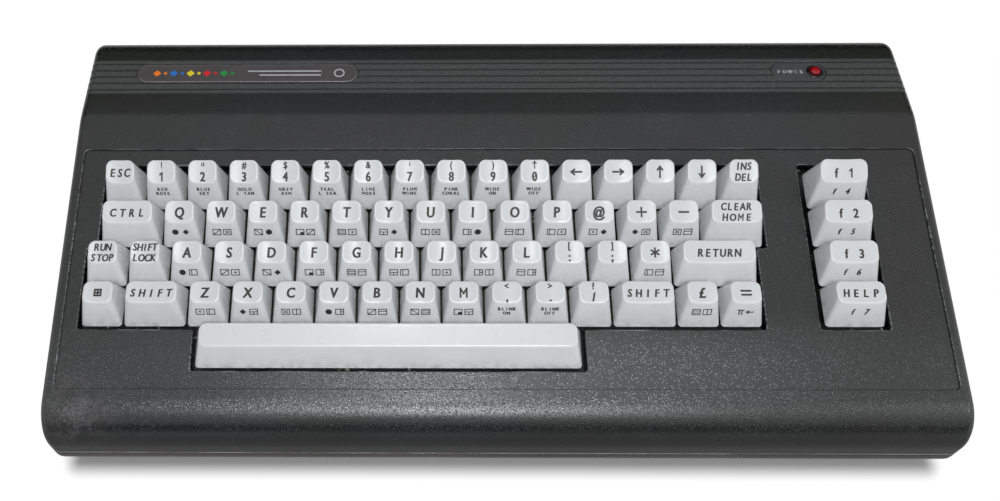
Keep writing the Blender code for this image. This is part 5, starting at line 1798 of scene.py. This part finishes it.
def makeRocker(plastic):
    white = surface("mark white", fitting["white"])[0]
    pivot = Vector(next(joint for joint in frame["joints"] if joint["child"] == "power_rocker")["pos_m"])
    place = Matrix.Translation(pivot) @ Matrix.Rotation(math.radians(fitting["rockerTilt"]), 4, "Z")
    half, thick = socket["rockerHalf"], socket["rockerThickness"] / 2
    floor, swell = fitting["rockerHollow"]
    # The side profile: its face is hollow between the two ends
    outline = [(-0.0040, -half / 3), (0.0006, -half), (0.0026, -half), (0.0031, -half + 0.0006)]
    outline += [(floor + swell * (step / 6) ** 2, half * 0.93 * step / 6) for step in range(-5, 6)]
    outline += [(0.0031, half - 0.0006), (0.0026, half), (0.0006, half), (-0.0040, half / 3)]
    levels = [(-thick, 0.96), (-thick + 0.0003, 1.0), (thick - 0.0003, 1.0), (thick, 0.96)]
    bm = loft(bmesh.new(), [[(px * share, py * share, z) for px, py in outline] for z, share in levels])
    bar = strokeMesh([(0, -0.5, 0, 0.5)], 0.12)
    for mesh, centre in ((bar, -half * fitting["markPlace"]), (letterMesh("O"), half * fitting["markPlace"])):
        bend = floor + swell * (centre / (half * 0.93)) ** 2
        stamp(bm, mesh, fitting["markHeight"],
              lambda px, py, pz, c=centre, b=bend: (b + pz + 0.00004, c + px, py), 1)
    bmesh.ops.transform(bm, matrix=place, verts=bm.verts)
    obj = newObject("rocker", bm, [plastic, white])
    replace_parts(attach(obj, "power_rocker"), "power_rocker")


def makeResetButton(plastic):
    low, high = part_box("reset_button")
    middle = (low + high) / 2
    radius, length = socket["buttonRadius"], high.x - low.x
    bm = bmesh.new()
    turned(bm, [(0, 0), (radius, 0), (radius, length - 0.0005), (radius - 0.0002, length - 0.00015),
                (radius - 0.0006, length), (radius * 0.5, length - 0.0002), (0, length - 0.00025)], 36,
           Matrix.Translation((low.x, middle.y, middle.z)) @ Matrix.Rotation(math.radians(90), 4, "Y"))
    obj = newObject("reset_cap", bm, [plastic])
    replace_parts(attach(obj, "reset_button"), "reset_button")


def makeFittings():
    plastic, brass, tin = (surface(name, fitting[key])[0] for name, key in (
        ("socket plastic", "plastic"), ("pin brass", "brass"), ("tinned steel", "tin")))
    # Node, wide or narrow, on the right side or at the back, and its number of pins
    for node, wide, side, pins in (("video_port", True, False, 8), ("serial_port", True, False, 6),
                                   ("cassette_port", False, False, 7), ("power_socket", True, True, 4),
                                   ("joystick_port_1", False, True, 8), ("joystick_port_2", False, True, 8)):
        makeSocket(node, wide, side, pins, plastic, brass, tin)
    makeCartridgeConnector(plastic, brass)
    makeModulator(tin)
    makeRocker(plastic)
    makeResetButton(plastic)


makeFeet()
makeScrews()
makeFittings()
print("feet, screws and sockets ready")


# Inner pieces that keep their own meshes get a finish of their own

innerLooks = {
    "board": {"colour": rgb(34, 92, 52), "blotch": rgb(26, 76, 44), "blotchScale": 60.0, "dust": 0.3,
              "roughness": 0.35, "grainScale": 900.0, "grain": 0.15},
    "chip": {"colour": rgb(30, 30, 31), "blotch": rgb(40, 40, 41), "blotchScale": 150.0, "dust": 0.2,
             "roughness": 0.55, "grain": 0.15},
    "aluminium": {"colour": rgb(176, 178, 180), "blotch": rgb(150, 152, 154), "blotchScale": 80.0,
                  "roughness": 0.4, "metallic": 1.0, "grain": 0.1},
    "frame": {"colour": rgb(24, 24, 25), "blotch": rgb(32, 32, 33), "blotchScale": 60.0,
              "dustColour": rgb(226, 226, 222), "dust": 1.0, "dustScale": 420.0, "roughness": 0.6,
              "grain": 0.2},
    "sheath": {"colour": rgb(150, 150, 146), "blotch": rgb(128, 128, 126), "blotchScale": 200.0,
               "roughness": 0.5, "grain": 0.1},
    "wire": {"colour": rgb(170, 170, 168), "blotch": rgb(140, 140, 138), "blotchScale": 300.0,
             "roughness": 0.3, "metallic": 1.0, "grain": 0.05},
    "switch": {"colour": rgb(28, 28, 29), "blotch": rgb(36, 36, 37), "blotchScale": 120.0, "dust": 0.2,
               "roughness": 0.45, "grain": 0.15},
}
innerNodes = {
    "main_board": "board", "keyboard_board": "board", "processor_chip": "chip", "video_chip": "chip",
    "heat_sink": "aluminium", "key_frame": "frame", "keyboard_cable": "sheath", "led_cable": "sheath",
    "space_bar_wire": "wire", "power_switch": "switch",
}


def finishInnerNodes():
    made = {name: surface(name + " finish", look)[0] for name, look in innerLooks.items()}
    for node, name in innerNodes.items():
        mesh = frame["nodes"][node].data
        mesh.materials.clear()
        mesh.materials.append(made[name])


finishInnerNodes()
print("inner pieces ready")
